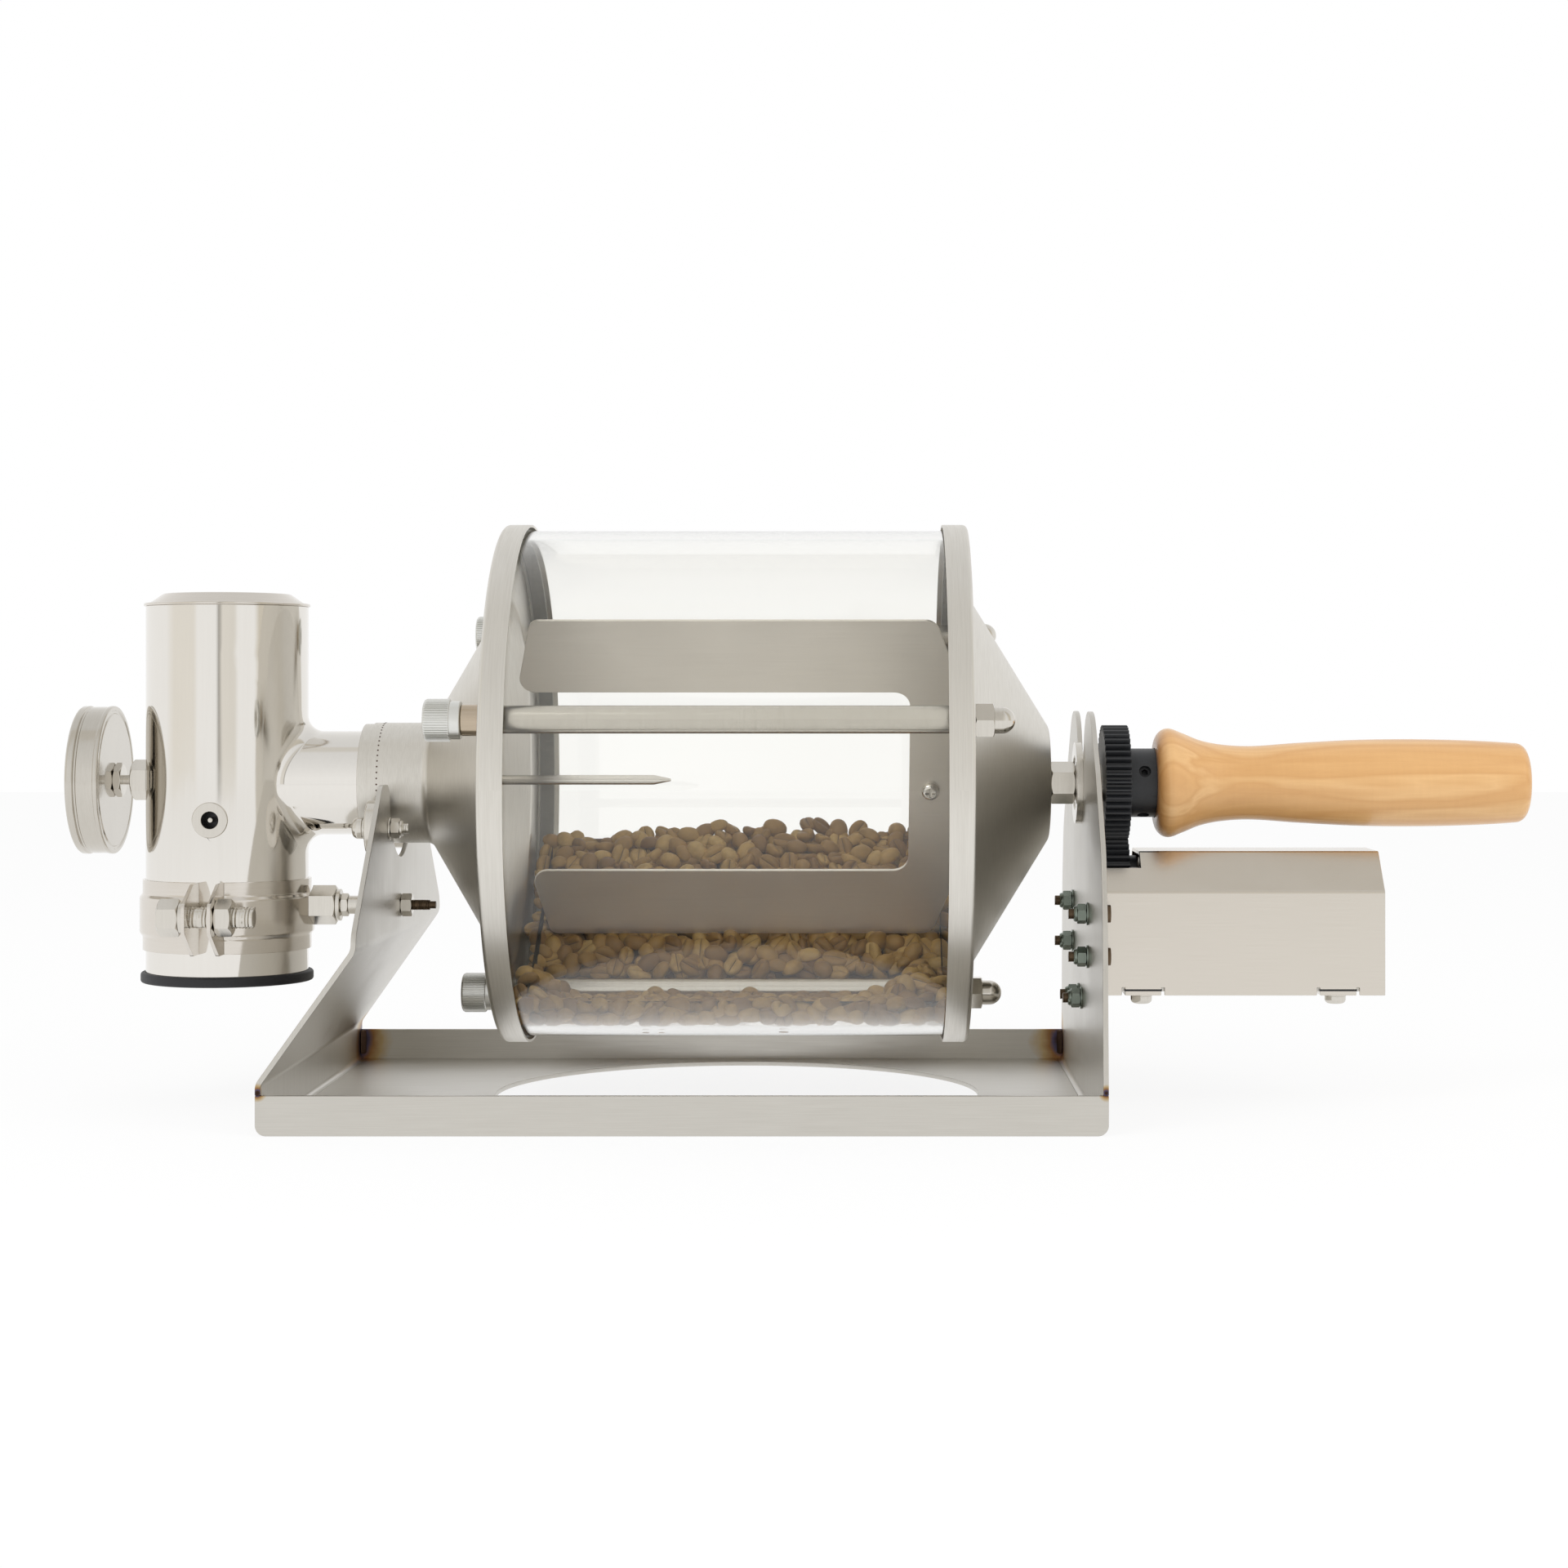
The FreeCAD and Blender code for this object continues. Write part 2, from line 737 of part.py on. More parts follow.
gasket_outer = rim_radius - drum_sheet
gasket_inner = glass_inner - 1
gasket_end_x = cap_inner_x - gasket_lip
gasket_corner = cone_corner - drum_sheet
parts["drum_gaskets"] = group([turned_x(outline(
    [(side * cap_inner_x, gasket_inner, no_round), (side * cap_inner_x, gasket_outer, gasket_corner),
     (side * gasket_end_x, gasket_outer, no_round), (side * gasket_end_x, glass_radius, no_round),
     (side * glass_end_x, glass_radius, no_round), (side * glass_end_x, gasket_inner, no_round)]))
    for side in (-1, 1)])

spacer_end_x = -rim_face_x - spacer_length
knob_collar_end_x = spacer_end_x - knob_collar_length
knob_end_x = knob_collar_end_x - knob_length
knob_thread_x = spacer_end_x - knob_thread_depth
acorn_thread_x = rim_face_x + acorn_thread_depth
dome_centre_x = rim_face_x + acorn_length - acorn_dome_radius
ridge_points = []
for step in range(2 * knob_ridges):
    turn = math.pi * step / knob_ridges
    radius = knob_radius - (step % 2) * knob_ridge_depth
    ridge_points.append((radius * math.cos(turn), radius * math.sin(turn)))
ridges = polygon(ridge_points)
clear_radius = knob_radius + knob_chamfer

tie_tubes, tie_studs, knob_spacers, tie_knobs, acorn_nuts = [], [], [], [], []
for y, z in tie_places:
    tie_tubes.append(ring_x(tie_tube_radius, tie_hole, -cap_inner_x, cap_inner_x, y, z))
    tie_studs.append(rod_x(tie_stud_radius, knob_thread_x, acorn_thread_x, y, z))
    knob_spacers.append(ring_x(spacer_radius, tie_hole, spacer_end_x, -rim_face_x, y, z))
    grip = moved(extrude_x(ridges, knob_end_x, knob_collar_end_x), y=y, z=z)
    grip = grip.common(turned_x(polygon(
        [(knob_end_x, 0), (knob_end_x, knob_radius - knob_chamfer),
         (knob_end_x + 2 * knob_chamfer, clear_radius), (knob_collar_end_x, clear_radius),
         (knob_collar_end_x, 0)]), y, z))
    knob = grip.fuse(rod_x(knob_collar_radius, knob_collar_end_x, spacer_end_x, y, z))
    tie_knobs.append(knob.cut(rod_x(tie_stud_radius, knob_thread_x, spacer_end_x, y, z)))
    acorn = hex_bar(acorn_across_flats, rim_face_x, rim_face_x + acorn_hex_length, y, z)
    acorn = acorn.fuse(rod_x(acorn_dome_radius, rim_face_x, dome_centre_x, y, z))
    acorn = acorn.fuse(Part.makeSphere(acorn_dome_radius, Vector(dome_centre_x, y, z)))
    acorn_nuts.append(acorn.cut(rod_x(tie_stud_radius, rim_face_x, acorn_thread_x, y, z)).removeSplitter())
parts["tie_tubes"] = group(tie_tubes)
parts["tie_studs"] = group(tie_studs)
parts["knob_spacers"] = group(knob_spacers)
parts["tie_knobs"] = group(tie_knobs)
parts["acorn_nuts"] = group(acorn_nuts)

# ---------------------------------------------------------------- paddles

paddle_turn = Rotation(Vector(1, 0, 0), 90 + paddle_tilt)
paddle_up = paddle_turn.multVec(Vector(0, 1, 0))
paddle_front = paddle_turn.multVec(Vector(0, 0, 1))
paddle_plane = Placement(Vector(0, 0, axis_z), paddle_turn)


def on_paddle(x, out, front):
    """A point by its X, its height in the paddle plane and its distance in front of it."""
    return Vector(x, 0, axis_z) + paddle_up * out + paddle_front * front


def across_paddle(radius, x, out):
    """Round hole through both paddles."""
    reach = 2 * shaft_radius
    return rod(radius, on_paddle(x, out, -reach), on_paddle(x, out, reach))


web_hole = across_paddle(m4_radius, paddle_screw_x, paddle_screw_out)
cross_hole = across_paddle(m3_radius, paddle_cross_screw_x, 0)


def paddle_plate(side):
    """One L-shaped plate; the two lap each other at the middle of the web."""
    corners = [(paddle_left_outer_x, paddle_outer, 4.0), (paddle_right_outer_x, paddle_outer, 6.0),
               (paddle_right_inner_x, paddle_inner, 8.0), (paddle_throat_x, paddle_throat_half, 8.0),
               (paddle_tongue_x, paddle_tongue_half, 2.0), (paddle_tongue_x, -paddle_lap, no_round),
               (paddle_web_x, -paddle_lap, no_round), (paddle_web_x, paddle_inner, 6.5),
               (paddle_left_inner_x, paddle_inner, 6.0)]
    plate = outline([(x, side * out, radius) for x, out, radius in corners])
    plate.Placement = paddle_plane
    return plate.extrude(paddle_front * (side * paddle_sheet)).cut(web_hole).cut(cross_hole)


parts["upper_paddle"] = paddle_plate(1)
parts["lower_paddle"] = paddle_plate(-1)


def paddle_fastener(head, bore, across_flats, thickness, x, out):
    """Pan-head screw from the front with a thin nut behind."""
    head_radius, head_height = head
    length = thickness + m3_nut_height + bore / 2
    screw = pan_screw(head_radius, head_height, bore, length)
    screw = aimed(screw, on_paddle(x, out, thickness / 2), paddle_front)
    nut = extrude_z(hexagon(across_flats), 0, m3_nut_height).cut(rod_z(bore, 0, m3_nut_height, 0))
    return [screw, aimed(nut, on_paddle(x, out, -thickness / 2), paddle_front * -1)]


parts["paddle_screws"] = group(
    paddle_fastener((paddle_screw_head_radius, m3_nut_height), m4_radius, m4_nut_across_flats,
                    2 * paddle_sheet, paddle_screw_x, paddle_screw_out)
    + paddle_fastener((m3_head_radius, m3_head_height), m3_radius, m3_nut_across_flats,
                      2 * shaft_radius, paddle_cross_screw_x, 0))

# ---------------------------------------------------------------- drum shaft and bearing

fork = box(shaft_start_x, paddle_tongue_x, -2 * shaft_radius, 2 * shaft_radius, -paddle_sheet, paddle_sheet)
fork.Placement = paddle_plane
parts["drum_shaft"] = rod_x(shaft_radius, shaft_start_x, shaft_end_x).cut(fork).cut(cross_hole)

cap_end_inner_x = cone_end_x - drum_sheet
outer_nut_x = cone_end_x + shaft_washer
bearing_start_x = right_plate_inner_x - bearing_flange
bearing_end_x = bearing_start_x + bearing_width
inner_nut_x = cap_end_inner_x - shaft_inner_nut_length
parts["shaft_nuts"] = group([
    nut_x(shaft_nut_across_flats, shaft_radius, inner_nut_x, cap_end_inner_x),
    ring_x(shaft_washer_radius, shaft_radius, cone_end_x, outer_nut_x),
    nut_x(shaft_nut_across_flats, shaft_radius, outer_nut_x, bearing_start_x)])

outer_race = bearing_radius - bearing_outer_wall
inner_race = shaft_radius + bearing_inner_wall
ball_circle = outer_race - bearing_ball_radius + bearing_shield
bearing_middle_x = (bearing_start_x + bearing_end_x) / 2
bearing_middle = Vector(bearing_middle_x, 0, axis_z)
along_x = Vector(1, 0, 0)
outer_ring = ring_x(bearing_radius, outer_race, bearing_start_x, bearing_end_x)
outer_ring = outer_ring.fuse(ring_x(bearing_flange_radius, outer_race, bearing_start_x, right_plate_inner_x))
for x in (bearing_start_x + bearing_shield, bearing_end_x - 2 * bearing_shield):
    outer_ring = outer_ring.fuse(ring_x(outer_race, inner_race + bearing_shield_gap, x, x + bearing_shield))
outer_ring = outer_ring.removeSplitter()
parts["bearing_outer_ring"] = outer_ring.cut(
    Part.makeTorus(ball_circle, bearing_ball_radius, bearing_middle, along_x))
inner_ring = ring_x(inner_race, shaft_radius, bearing_start_x, bearing_end_x).cut(
    Part.makeTorus(ball_circle, bearing_ball_radius + bearing_ball_play, bearing_middle, along_x))
gear_spacer = ring_x(gear_spacer_radius, shaft_radius, bearing_end_x, gear_face_x)
parts["bearing_inner_ring"] = group([inner_ring, gear_spacer])
bearing_balls = []
for index in range(bearing_ball_count):
    y, z = polar(ball_circle, index * 360 / bearing_ball_count)
    bearing_balls.append(Part.makeSphere(bearing_ball_radius, Vector(bearing_middle_x, y, axis_z + z)))
parts["bearing_balls"] = group(bearing_balls)

# ---------------------------------------------------------------- drum gear and handle

gear_back_x = gear_face_x + gear_face_width
hub_end_x = gear_back_x + gear_hub_length
drum_gear = moved(extrude_x(gear_face(gear_teeth), gear_face_x, gear_back_x), z=axis_z)
drum_gear = drum_gear.fuse(turned_x(outline(
    [(gear_face_x, 0, no_round), (gear_face_x, gear_hub_radius, no_round), (hub_end_x, gear_hub_radius, 0.6),
     (hub_end_x, 0, no_round)])))
shaft_bore = rod_x(shaft_radius, gear_face_x, hub_end_x)
drum_gear = drum_gear.cut(shaft_bore)
hub_middle = Vector(set_screw_x, 0, axis_z)
set_screw_top = gear_hub_radius - set_screw_sink
set_screws = []
for angle in set_screw_angles:
    outwards = Vector(0, *polar(1, angle))
    hub_outside = hub_middle + outwards * (gear_hub_radius + 1)
    drum_gear = drum_gear.cut(rod(set_screw_radius, hub_middle, hub_outside))
    screw = rod_z(set_screw_radius, -set_screw_top, 0, 0)
    screw = screw.cut(extrude_z(hexagon(set_screw_socket), -set_screw_socket, 0))
    set_screws.append(aimed(screw, hub_middle + outwards * set_screw_top, outwards).cut(shaft_bore))
parts["drum_gear"] = drum_gear
parts["gear_set_screws"] = group(set_screws)

handle_start_x = hub_end_x - handle_socket_depth
handle_end_x = handle_start_x + handle_length
bead_x = handle_start_x + handle_bead_offset
nose_start = flat(handle_start_x, handle_face_radius)
nose_middle = flat(handle_start_x + handle_bead_offset * 0.28,
                   handle_face_radius + (handle_bead_radius - handle_face_radius) * 0.72)
side_points = [flat(bead_x + along, radius) for along, radius in handle_waist]
end_start = flat(handle_end_x - handle_end_round, handle_end_radius)
end_middle = flat(handle_end_x - handle_end_round * 0.27, handle_end_radius - handle_end_round * 0.34)
end_finish = flat(handle_end_x, handle_end_radius - handle_end_round * 1.1)
side_curve = Part.BSplineCurve()
side_curve.interpolate(side_points + [end_start], InitialTangent=flat(1, 0), FinalTangent=flat(1, -0.09))
handle_edges = [Part.Arc(nose_start, nose_middle, side_points[0]).toShape(), side_curve.toShape(),
                Part.Arc(end_start, end_middle, end_finish).toShape(),
                Part.makeLine(end_finish, flat(handle_end_x, 0)),
                Part.makeLine(flat(handle_end_x, 0), flat(handle_start_x, 0)),
                Part.makeLine(flat(handle_start_x, 0), nose_start)]
handle = turned_x(Part.Face(Part.Wire(handle_edges)))
handle = handle.cut(rod_x(gear_hub_radius, handle_start_x, hub_end_x))
parts["handle"] = handle.cut(rod_x(shaft_radius, hub_end_x, shaft_end_x))

# ---------------------------------------------------------------- motor and pinion

pinion_z = axis_z - gear_module * (gear_teeth + pinion_teeth) / 2 - gear_centre_play
pinion_end_x = gear_back_x + pinion_hub_length
pinion = moved(extrude_x(gear_face(pinion_teeth), gear_face_x, gear_back_x), z=pinion_z)
pinion = pinion.fuse(rod_x(pinion_hub_radius, gear_face_x, pinion_end_x, 0, pinion_z))
parts["pinion"] = pinion.cut(rod_x(spindle_radius, gear_face_x, pinion_end_x, 0, pinion_z))
parts["motor_spindle"] = rod_x(spindle_radius, gear_face_x, spindle_end_x, 0, pinion_z)

flange_x = tray_right + frame_sheet
cover_inner_half = cover_half - cover_sheet
cover_plate_x = cover_end_x - cover_sheet
bracket = extrude_x(mirrored([(flange_half, flange_bottom_z, 4.0), (flange_half, flange_top_z, 4.0)]),
                    tray_right, flange_x)
bracket = bracket.fuse(box(flange_x, cover_plate_x, -cover_inner_half, cover_inner_half,
                           shelf_bottom_z, shelf_top_z))
for y, z in plate_bolts:
    bracket = bracket.cut(rod_x(m4_radius, tray_right, flange_x, y, z))
cover_screw_places = [(x, side * cover_screw_y) for x in cover_tab_xs for side in (-1, 1)]
for x, y in cover_screw_places + [(x, 0) for x in foot_screw_xs]:
    bracket = bracket.cut(rod_z(m4_radius, shelf_bottom_z, shelf_top_z, x, y))
parts["motor_bracket"] = bracket.removeSplitter()

bolt_head_x = flange_x + m4_washer
nut_seat_x = right_plate_inner_x - m4_washer
bolt_end_x = nut_seat_x - m4_nut_height - m4_thread_past_nut
bolt_top_x = bolt_head_x + cap_head_height
bracket_bolts, bracket_nuts = [], []
for y, z in plate_bolts:
    bolt = rod_x(m4_radius, bolt_end_x, bolt_head_x, y, z)
    bolt = bolt.fuse(rod_x(cap_head_radius, bolt_head_x, bolt_top_x, y, z))
    socket = extrude_x(hexagon(cap_head_socket), bolt_top_x - cap_head_height / 2, bolt_top_x)
    socket = moved(socket, y=y, z=z)
    bracket_bolts.append(bolt.cut(socket))
    bracket_bolts.append(ring_x(m4_washer_radius, m4_radius, flange_x, bolt_head_x, y, z))
    bracket_nuts.append(ring_x(m4_washer_radius, m4_radius, nut_seat_x, right_plate_inner_x, y, z))
    bracket_nuts.append(nut_x(m4_nut_across_flats, m4_radius, nut_seat_x - m4_nut_height, nut_seat_x, y, z))
parts["bracket_bolts"] = group(bracket_bolts)
parts["bracket_nuts"] = group(bracket_nuts)

motor_plate_end_x = motor_plate_x + frame_sheet
foot_top_z = shelf_top_z + frame_sheet
gearbox_z = pinion_z - gearbox_drop
gearbox_screw_z = gearbox_z - gearbox_screw_drop
motor_plate_corner_z = motor_plate_top_z - cover_chamfer
motor_plate = extrude_x(mirrored(
    [(motor_plate_half, shelf_top_z, no_round), (motor_plate_half, motor_plate_corner_z, 2.0),
     (motor_plate_half - cover_chamfer, motor_plate_top_z, 2.0)]), motor_plate_x, motor_plate_end_x)
motor_plate = motor_plate.fuse(
    box(motor_plate_x, motor_foot_end_x, -motor_foot_half, motor_foot_half, shelf_top_z, foot_top_z))
motor_plate = motor_plate.cut(rod_x(gearbox_boss_radius, motor_plate_x, motor_plate_end_x, 0, pinion_z))

gearbox_end_x = motor_plate_end_x + gearbox_length
can_end_x = gearbox_end_x + motor_can_length
gear_motor = rod_x(gearbox_radius, motor_plate_end_x, gearbox_end_x, 0, gearbox_z)
gear_motor = gear_motor.fuse(rod_x(gearbox_boss_radius, motor_plate_x, motor_plate_end_x, 0, pinion_z))
gear_motor = gear_motor.fuse(rod_x(motor_can_radius, gearbox_end_x, can_end_x, 0, gearbox_z))
motor_tail_end_x = can_end_x + motor_tail_length
gear_motor = gear_motor.fuse(rod_x(motor_tail_radius, can_end_x, motor_tail_end_x, 0, gearbox_z))

mount_screws = []
screw_reach = frame_sheet + gearbox_screw_bite
for side in (-1, 1):
    y = side * gearbox_screw_y
    motor_plate = motor_plate.cut(rod_x(m3_radius, motor_plate_x, motor_plate_end_x, y, gearbox_screw_z))
    gear_motor = gear_motor.cut(
        rod_x(m3_radius, motor_plate_end_x, motor_plate_x + screw_reach, y, gearbox_screw_z))
    screw = pan_screw(m3_head_radius, m3_head_height, m3_radius, screw_reach)
    mount_screws.append(aimed(screw, Vector(motor_plate_x, y, gearbox_screw_z), Vector(-1, 0, 0)))
for x in foot_screw_xs:
    motor_plate = motor_plate.cut(rod_z(m4_radius, shelf_top_z, foot_top_z, x))
    screw = pan_screw(foot_screw_head_radius, foot_screw_head_height, m4_radius,
                      foot_top_z + 1 - shelf_bottom_z)
    mount_screws.append(aimed(screw, Vector(x, 0, shelf_bottom_z), Vector(0, 0, -1)))
parts["motor_mount"] = motor_plate.removeSplitter()
parts["gear_motor"] = gear_motor.cut(
    rod_x(spindle_radius + spindle_clearance, motor_plate_x, spindle_end_x + 0.5, 0, pinion_z))
parts["mount_screws"] = group(mount_screws)

# ---------------------------------------------------------------- motor cover

cover_shoulder_z = cover_top_z - cover_chamfer
cover_ridge_half = cover_half - cover_chamfer
cover_half_line = [(cover_half, cover_bottom_z, no_round), (cover_half, cover_shoulder_z, cover_corner),
                   (cover_ridge_half, cover_top_z, cover_corner)]
cover_line = cover_half_line + [(-y, z, radius) for y, z, radius in cover_half_line[::-1]]
cover = extrude_x(folded_sheet(cover_line, cover_sheet), flange_x, cover_plate_x)
cover = cover.fuse(extrude_x(outline(cover_line), cover_plate_x, cover_end_x))
cover = cover.cut(box(flange_x, cover_notch_x, -cover_half, cover_half, cover_notch_z, cover_top_z))
tab_top_z = cover_bottom_z + cover_sheet
cover_screw_z = cover_bottom_z - m4_washer
cover_screws = []
for x, y in cover_screw_places:
    side = math.copysign(1, y)
    depths = (cover_half, cover_inner_half, cover_half - cover_tab_depth)
    near_y, wall_y, far_y = [side * value for value in depths]
    for slit_x in (x - cover_tab_width / 2 - cover_tab_slit, x + cover_tab_width / 2):
        cover = cover.cut(box(slit_x, slit_x + cover_tab_slit, *sorted((near_y, wall_y)),
                              cover_bottom_z, cover_bottom_z + cover_tab_rise))
    tab = box(x - cover_tab_width / 2, x + cover_tab_width / 2, *sorted((near_y, far_y)),
              cover_bottom_z, tab_top_z)
    cover = cover.fuse(tab).cut(rod_z(m4_radius, cover_bottom_z, tab_top_z, x, y))
    screw = pan_screw(m4_head_radius, m4_head_height, m4_radius, shelf_top_z - cover_screw_z)
    cover_screws.append(aimed(screw, Vector(x, y, cover_screw_z), Vector(0, 0, -1)))
    cover_screws.append(ring_z(m4_washer_radius, m4_radius, cover_screw_z, cover_bottom_z, x, y))
cover_jack_seat = Vector(motor_jack_x, cover_half, motor_jack_z)
cover = cover.cut(rod(jack_body_radius, cover_jack_seat - Vector(0, 2 * cover_sheet, 0), cover_jack_seat))
parts["motor_cover"] = cover.removeSplitter()
parts["cover_screws"] = group(cover_screws)


def power_jack(seat, towards):
    """Round DC socket: a flange on its seat, a body behind it and a centre pin."""
    floor = jack_flange - jack_hole_depth
    jack = rod_z(jack_flange_radius, 0, jack_flange, 0)
    jack = jack.fuse(rod_z(jack_body_radius, -jack_body_length, 0, 0))
    jack = jack.cut(rod_z(jack_hole_radius, floor, jack_flange, 0))
    jack = jack.fuse(rod_z(jack_pin_radius, floor, jack_flange - 1, 0)).removeSplitter()
    return aimed(jack, seat, towards)


parts["motor_jack"] = power_jack(cover_jack_seat, Vector(0, 1, 0))

# ---------------------------------------------------------------- chaff tube

tee_inner = tee_radius - tee_wall
branch_inner = branch_radius - tee_wall
tee_skin = rod_z(tee_radius, tee_bottom_z, tee_top_z, tee_x)
tee_body = tee_skin.fuse(rod_x(branch_radius, tee_x, branch_end_x)).removeSplitter()
saddle = [edge for edge in tee_body.Edges
          if edge.BoundBox.XMin > tee_x and edge.BoundBox.XMax < tee_x + tee_radius + 1
          and edge.BoundBox.ZLength > branch_radius]
tee_body = tee_body.makeFillet(tee_fillet, saddle)
tee_body = tee_body.cut(rod_z(tee_inner, tee_bottom_z, tee_top_z, tee_x))
tee_body = tee_body.cut(rod_x(branch_inner, tee_x, branch_end_x))
tee_left_x = tee_x - tee_radius
gland_nut_x = tee_left_x + tee_wall
fan_jack_seat = Vector(tee_x, -math.sqrt(tee_radius ** 2 - jack_flange_radius ** 2), fan_jack_z)
jack_hole = rod(jack_body_radius, Vector(tee_x, 0, fan_jack_z), Vector(tee_x, -2 * tee_radius, fan_jack_z))
parts["tee_tube"] = tee_body.cut(rod_x(gland_thread_radius, tee_left_x, tee_x, 0, probe_z)).cut(jack_hole)
parts["fan_jack"] = power_jack(fan_jack_seat, Vector(0, -1, 0)).cut(tee_skin.cut(jack_hole))

lid_top_z = tee_top_z + lid_sheet + lid_dome_height
lid_plug = tee_inner - lid_play
lid_skirt_z = tee_top_z - lid_skirt_depth
parts["tube_lid"] = turned_z(outline(
    [(0, lid_top_z - lid_sheet, no_round), (lid_dome_radius - lid_sheet, lid_top_z - lid_sheet, no_round),
     (lid_plug - lid_sheet, tee_top_z, no_round), (lid_plug - lid_sheet, lid_skirt_z, no_round),
     (lid_plug, lid_skirt_z, no_round), (lid_plug, tee_top_z, no_round),
     (lid_radius, tee_top_z, no_round), (lid_radius, tee_top_z + lid_sheet, 0.5),
     (lid_dome_base_radius, tee_top_z + lid_sheet, no_round), (lid_dome_radius, lid_top_z, 1.2),
     (0, lid_top_z, no_round)]), tee_x)

parts["rubber_ring"] = turned_z(outline(
    [(ring_bore_radius, ring_bottom_z, no_round), (ring_radius, ring_bottom_z, 0.8),
     (ring_radius, ring_top_z, 0.8), (tee_radius, ring_top_z, no_round),
     (tee_radius, tee_bottom_z, no_round), (ring_bore_radius, tee_bottom_z, no_round)]), tee_x)

# ---------------------------------------------------------------- fan in the foot of the tube

fan_top_z = fan_bottom_z + fan_height
hub_plate_z = fan_bottom_z + fan_base
stator_top_z = hub_plate_z + 1.5
fan_frame = ring_z(tee_inner, tee_inner - fan_frame_wall, fan_bottom_z, fan_top_z, tee_x)
fan_frame = fan_frame.fuse(rod_z(fan_hub_radius, fan_bottom_z, hub_plate_z, tee_x))
fan_frame = fan_frame.fuse(rod_z(fan_hub_radius * 0.6, hub_plate_z, stator_top_z, tee_x))
for index in range(fan_strut_count):
    strut = box(0, tee_inner - fan_frame_wall / 2, -fan_strut_width / 2, fan_strut_width / 2,
                fan_bottom_z, hub_plate_z)
    strut.rotate(Vector(0, 0, 0), Vector(0, 0, 1), 90 + index * 360 / fan_strut_count)
    fan_frame = fan_frame.fuse(moved(strut, x=tee_x))
pin_hole = rod_z(fan_pin_radius + fan_pin_play, fan_bottom_z, stator_top_z, tee_x)
parts["fan_frame"] = fan_frame.cut(pin_hole).removeSplitter()

rotor_bottom_z = stator_top_z + 0.5
rotor_top_z = fan_top_z - 1
fan_rotor = rod_z(fan_hub_radius, rotor_bottom_z, rotor_top_z, tee_x)
sweep = ring_z(fan_blade_radius, fan_hub_radius - 1, rotor_bottom_z, rotor_top_z, tee_x)
for index in range(fan_blade_count):
    blade = box(fan_hub_radius - 1, tee_inner, -fan_blade_chord / 2, fan_blade_chord / 2,
                -fan_blade_thickness / 2, fan_blade_thickness / 2)
    blade.rotate(Vector(0, 0, 0), Vector(1, 0, 0), fan_blade_pitch)
    blade.rotate(Vector(0, 0, 0), Vector(0, 0, 1), index * 360 / fan_blade_count)
    blade = moved(blade, x=tee_x, z=(rotor_bottom_z + rotor_top_z) / 2)
    fan_rotor = fan_rotor.fuse(blade.common(sweep))
fan_pin = rod_z(fan_pin_radius, fan_bottom_z, rotor_bottom_z + 1, tee_x)
parts["fan_rotor"] = fan_rotor.fuse(fan_pin).removeSplitter()

# ---------------------------------------------------------------- band clamp

band_radius = tee_radius + band_sheet
bulge_radius = band_radius + band_bulge
bulge_bottom_z = band_bottom_z + band_edge_height
bulge_top_z = band_top_z - band_edge_height
band = turned_z(folded_sheet(
    [(band_radius, band_bottom_z, no_round), (band_radius, bulge_bottom_z, 1.5),
     (bulge_radius, bulge_bottom_z + band_bulge_run, 1.5), (bulge_radius, bulge_top_z - band_bulge_run, 1.5),
     (band_radius, bulge_top_z, 1.5), (band_radius, band_top_z, no_round)], band_sheet), tee_x)
ear_left_end_x, clamp_ear_right_x = tee_x - clamp_gap / 2, tee_x + clamp_gap / 2
clamp_ear_left_x = ear_left_end_x - clamp_ear_thickness
ear_right_end_x = clamp_ear_right_x + clamp_ear_thickness
clamp_bolt_end_x = ear_right_end_x + clamp_nut_length + clamp_bolt_past_nut
band = band.cut(box(ear_left_end_x, clamp_ear_right_x, -bulge_radius, 0, band_bottom_z, band_top_z))
for ear_x in (clamp_ear_left_x, clamp_ear_right_x):
    ear = extrude_x(outline(
        [(-tee_radius + 2, band_bottom_z, no_round), (clamp_ear_root_y, band_bottom_z, 3.0),
         (clamp_ear_tip_y, clamp_bolt_z - clamp_ear_tip_half, 3.0),
         (clamp_ear_tip_y, clamp_bolt_z + clamp_ear_tip_half, 3.0),
         (clamp_ear_root_y, band_top_z, 3.0), (-tee_radius + 2, band_top_z, no_round)]),
        ear_x, ear_x + clamp_ear_thickness)
    band = band.fuse(ear.cut(tee_skin))
clamp_hole = rod_x(clamp_bolt_radius, clamp_ear_left_x, ear_right_end_x, clamp_bolt_y, clamp_bolt_z)
band_envelope = rod_z(bulge_radius, band_bottom_z, band_top_z, tee_x)
parts["band_clamp"] = band.cut(clamp_hole).removeSplitter()

clamp_seat_x = clamp_ear_left_x - clamp_washer
clamp_head = hex_bar(clamp_bolt_across_flats, clamp_seat_x - clamp_bolt_head, clamp_seat_x,
                     clamp_bolt_y, clamp_bolt_z)
clamp_shank = rod_x(clamp_bolt_radius, clamp_seat_x, clamp_bolt_end_x, clamp_bolt_y, clamp_bolt_z)
clamp_ring = ring_x(clamp_washer_radius, clamp_bolt_radius, clamp_seat_x, clamp_ear_left_x,
                    clamp_bolt_y, clamp_bolt_z)
parts["clamp_bolt"] = group([clamp_head.fuse(clamp_shank), clamp_ring])
parts["clamp_nut"] = nut_x(clamp_bolt_across_flats, clamp_bolt_radius, ear_right_end_x,
                           ear_right_end_x + clamp_nut_length, clamp_bolt_y, clamp_bolt_z)

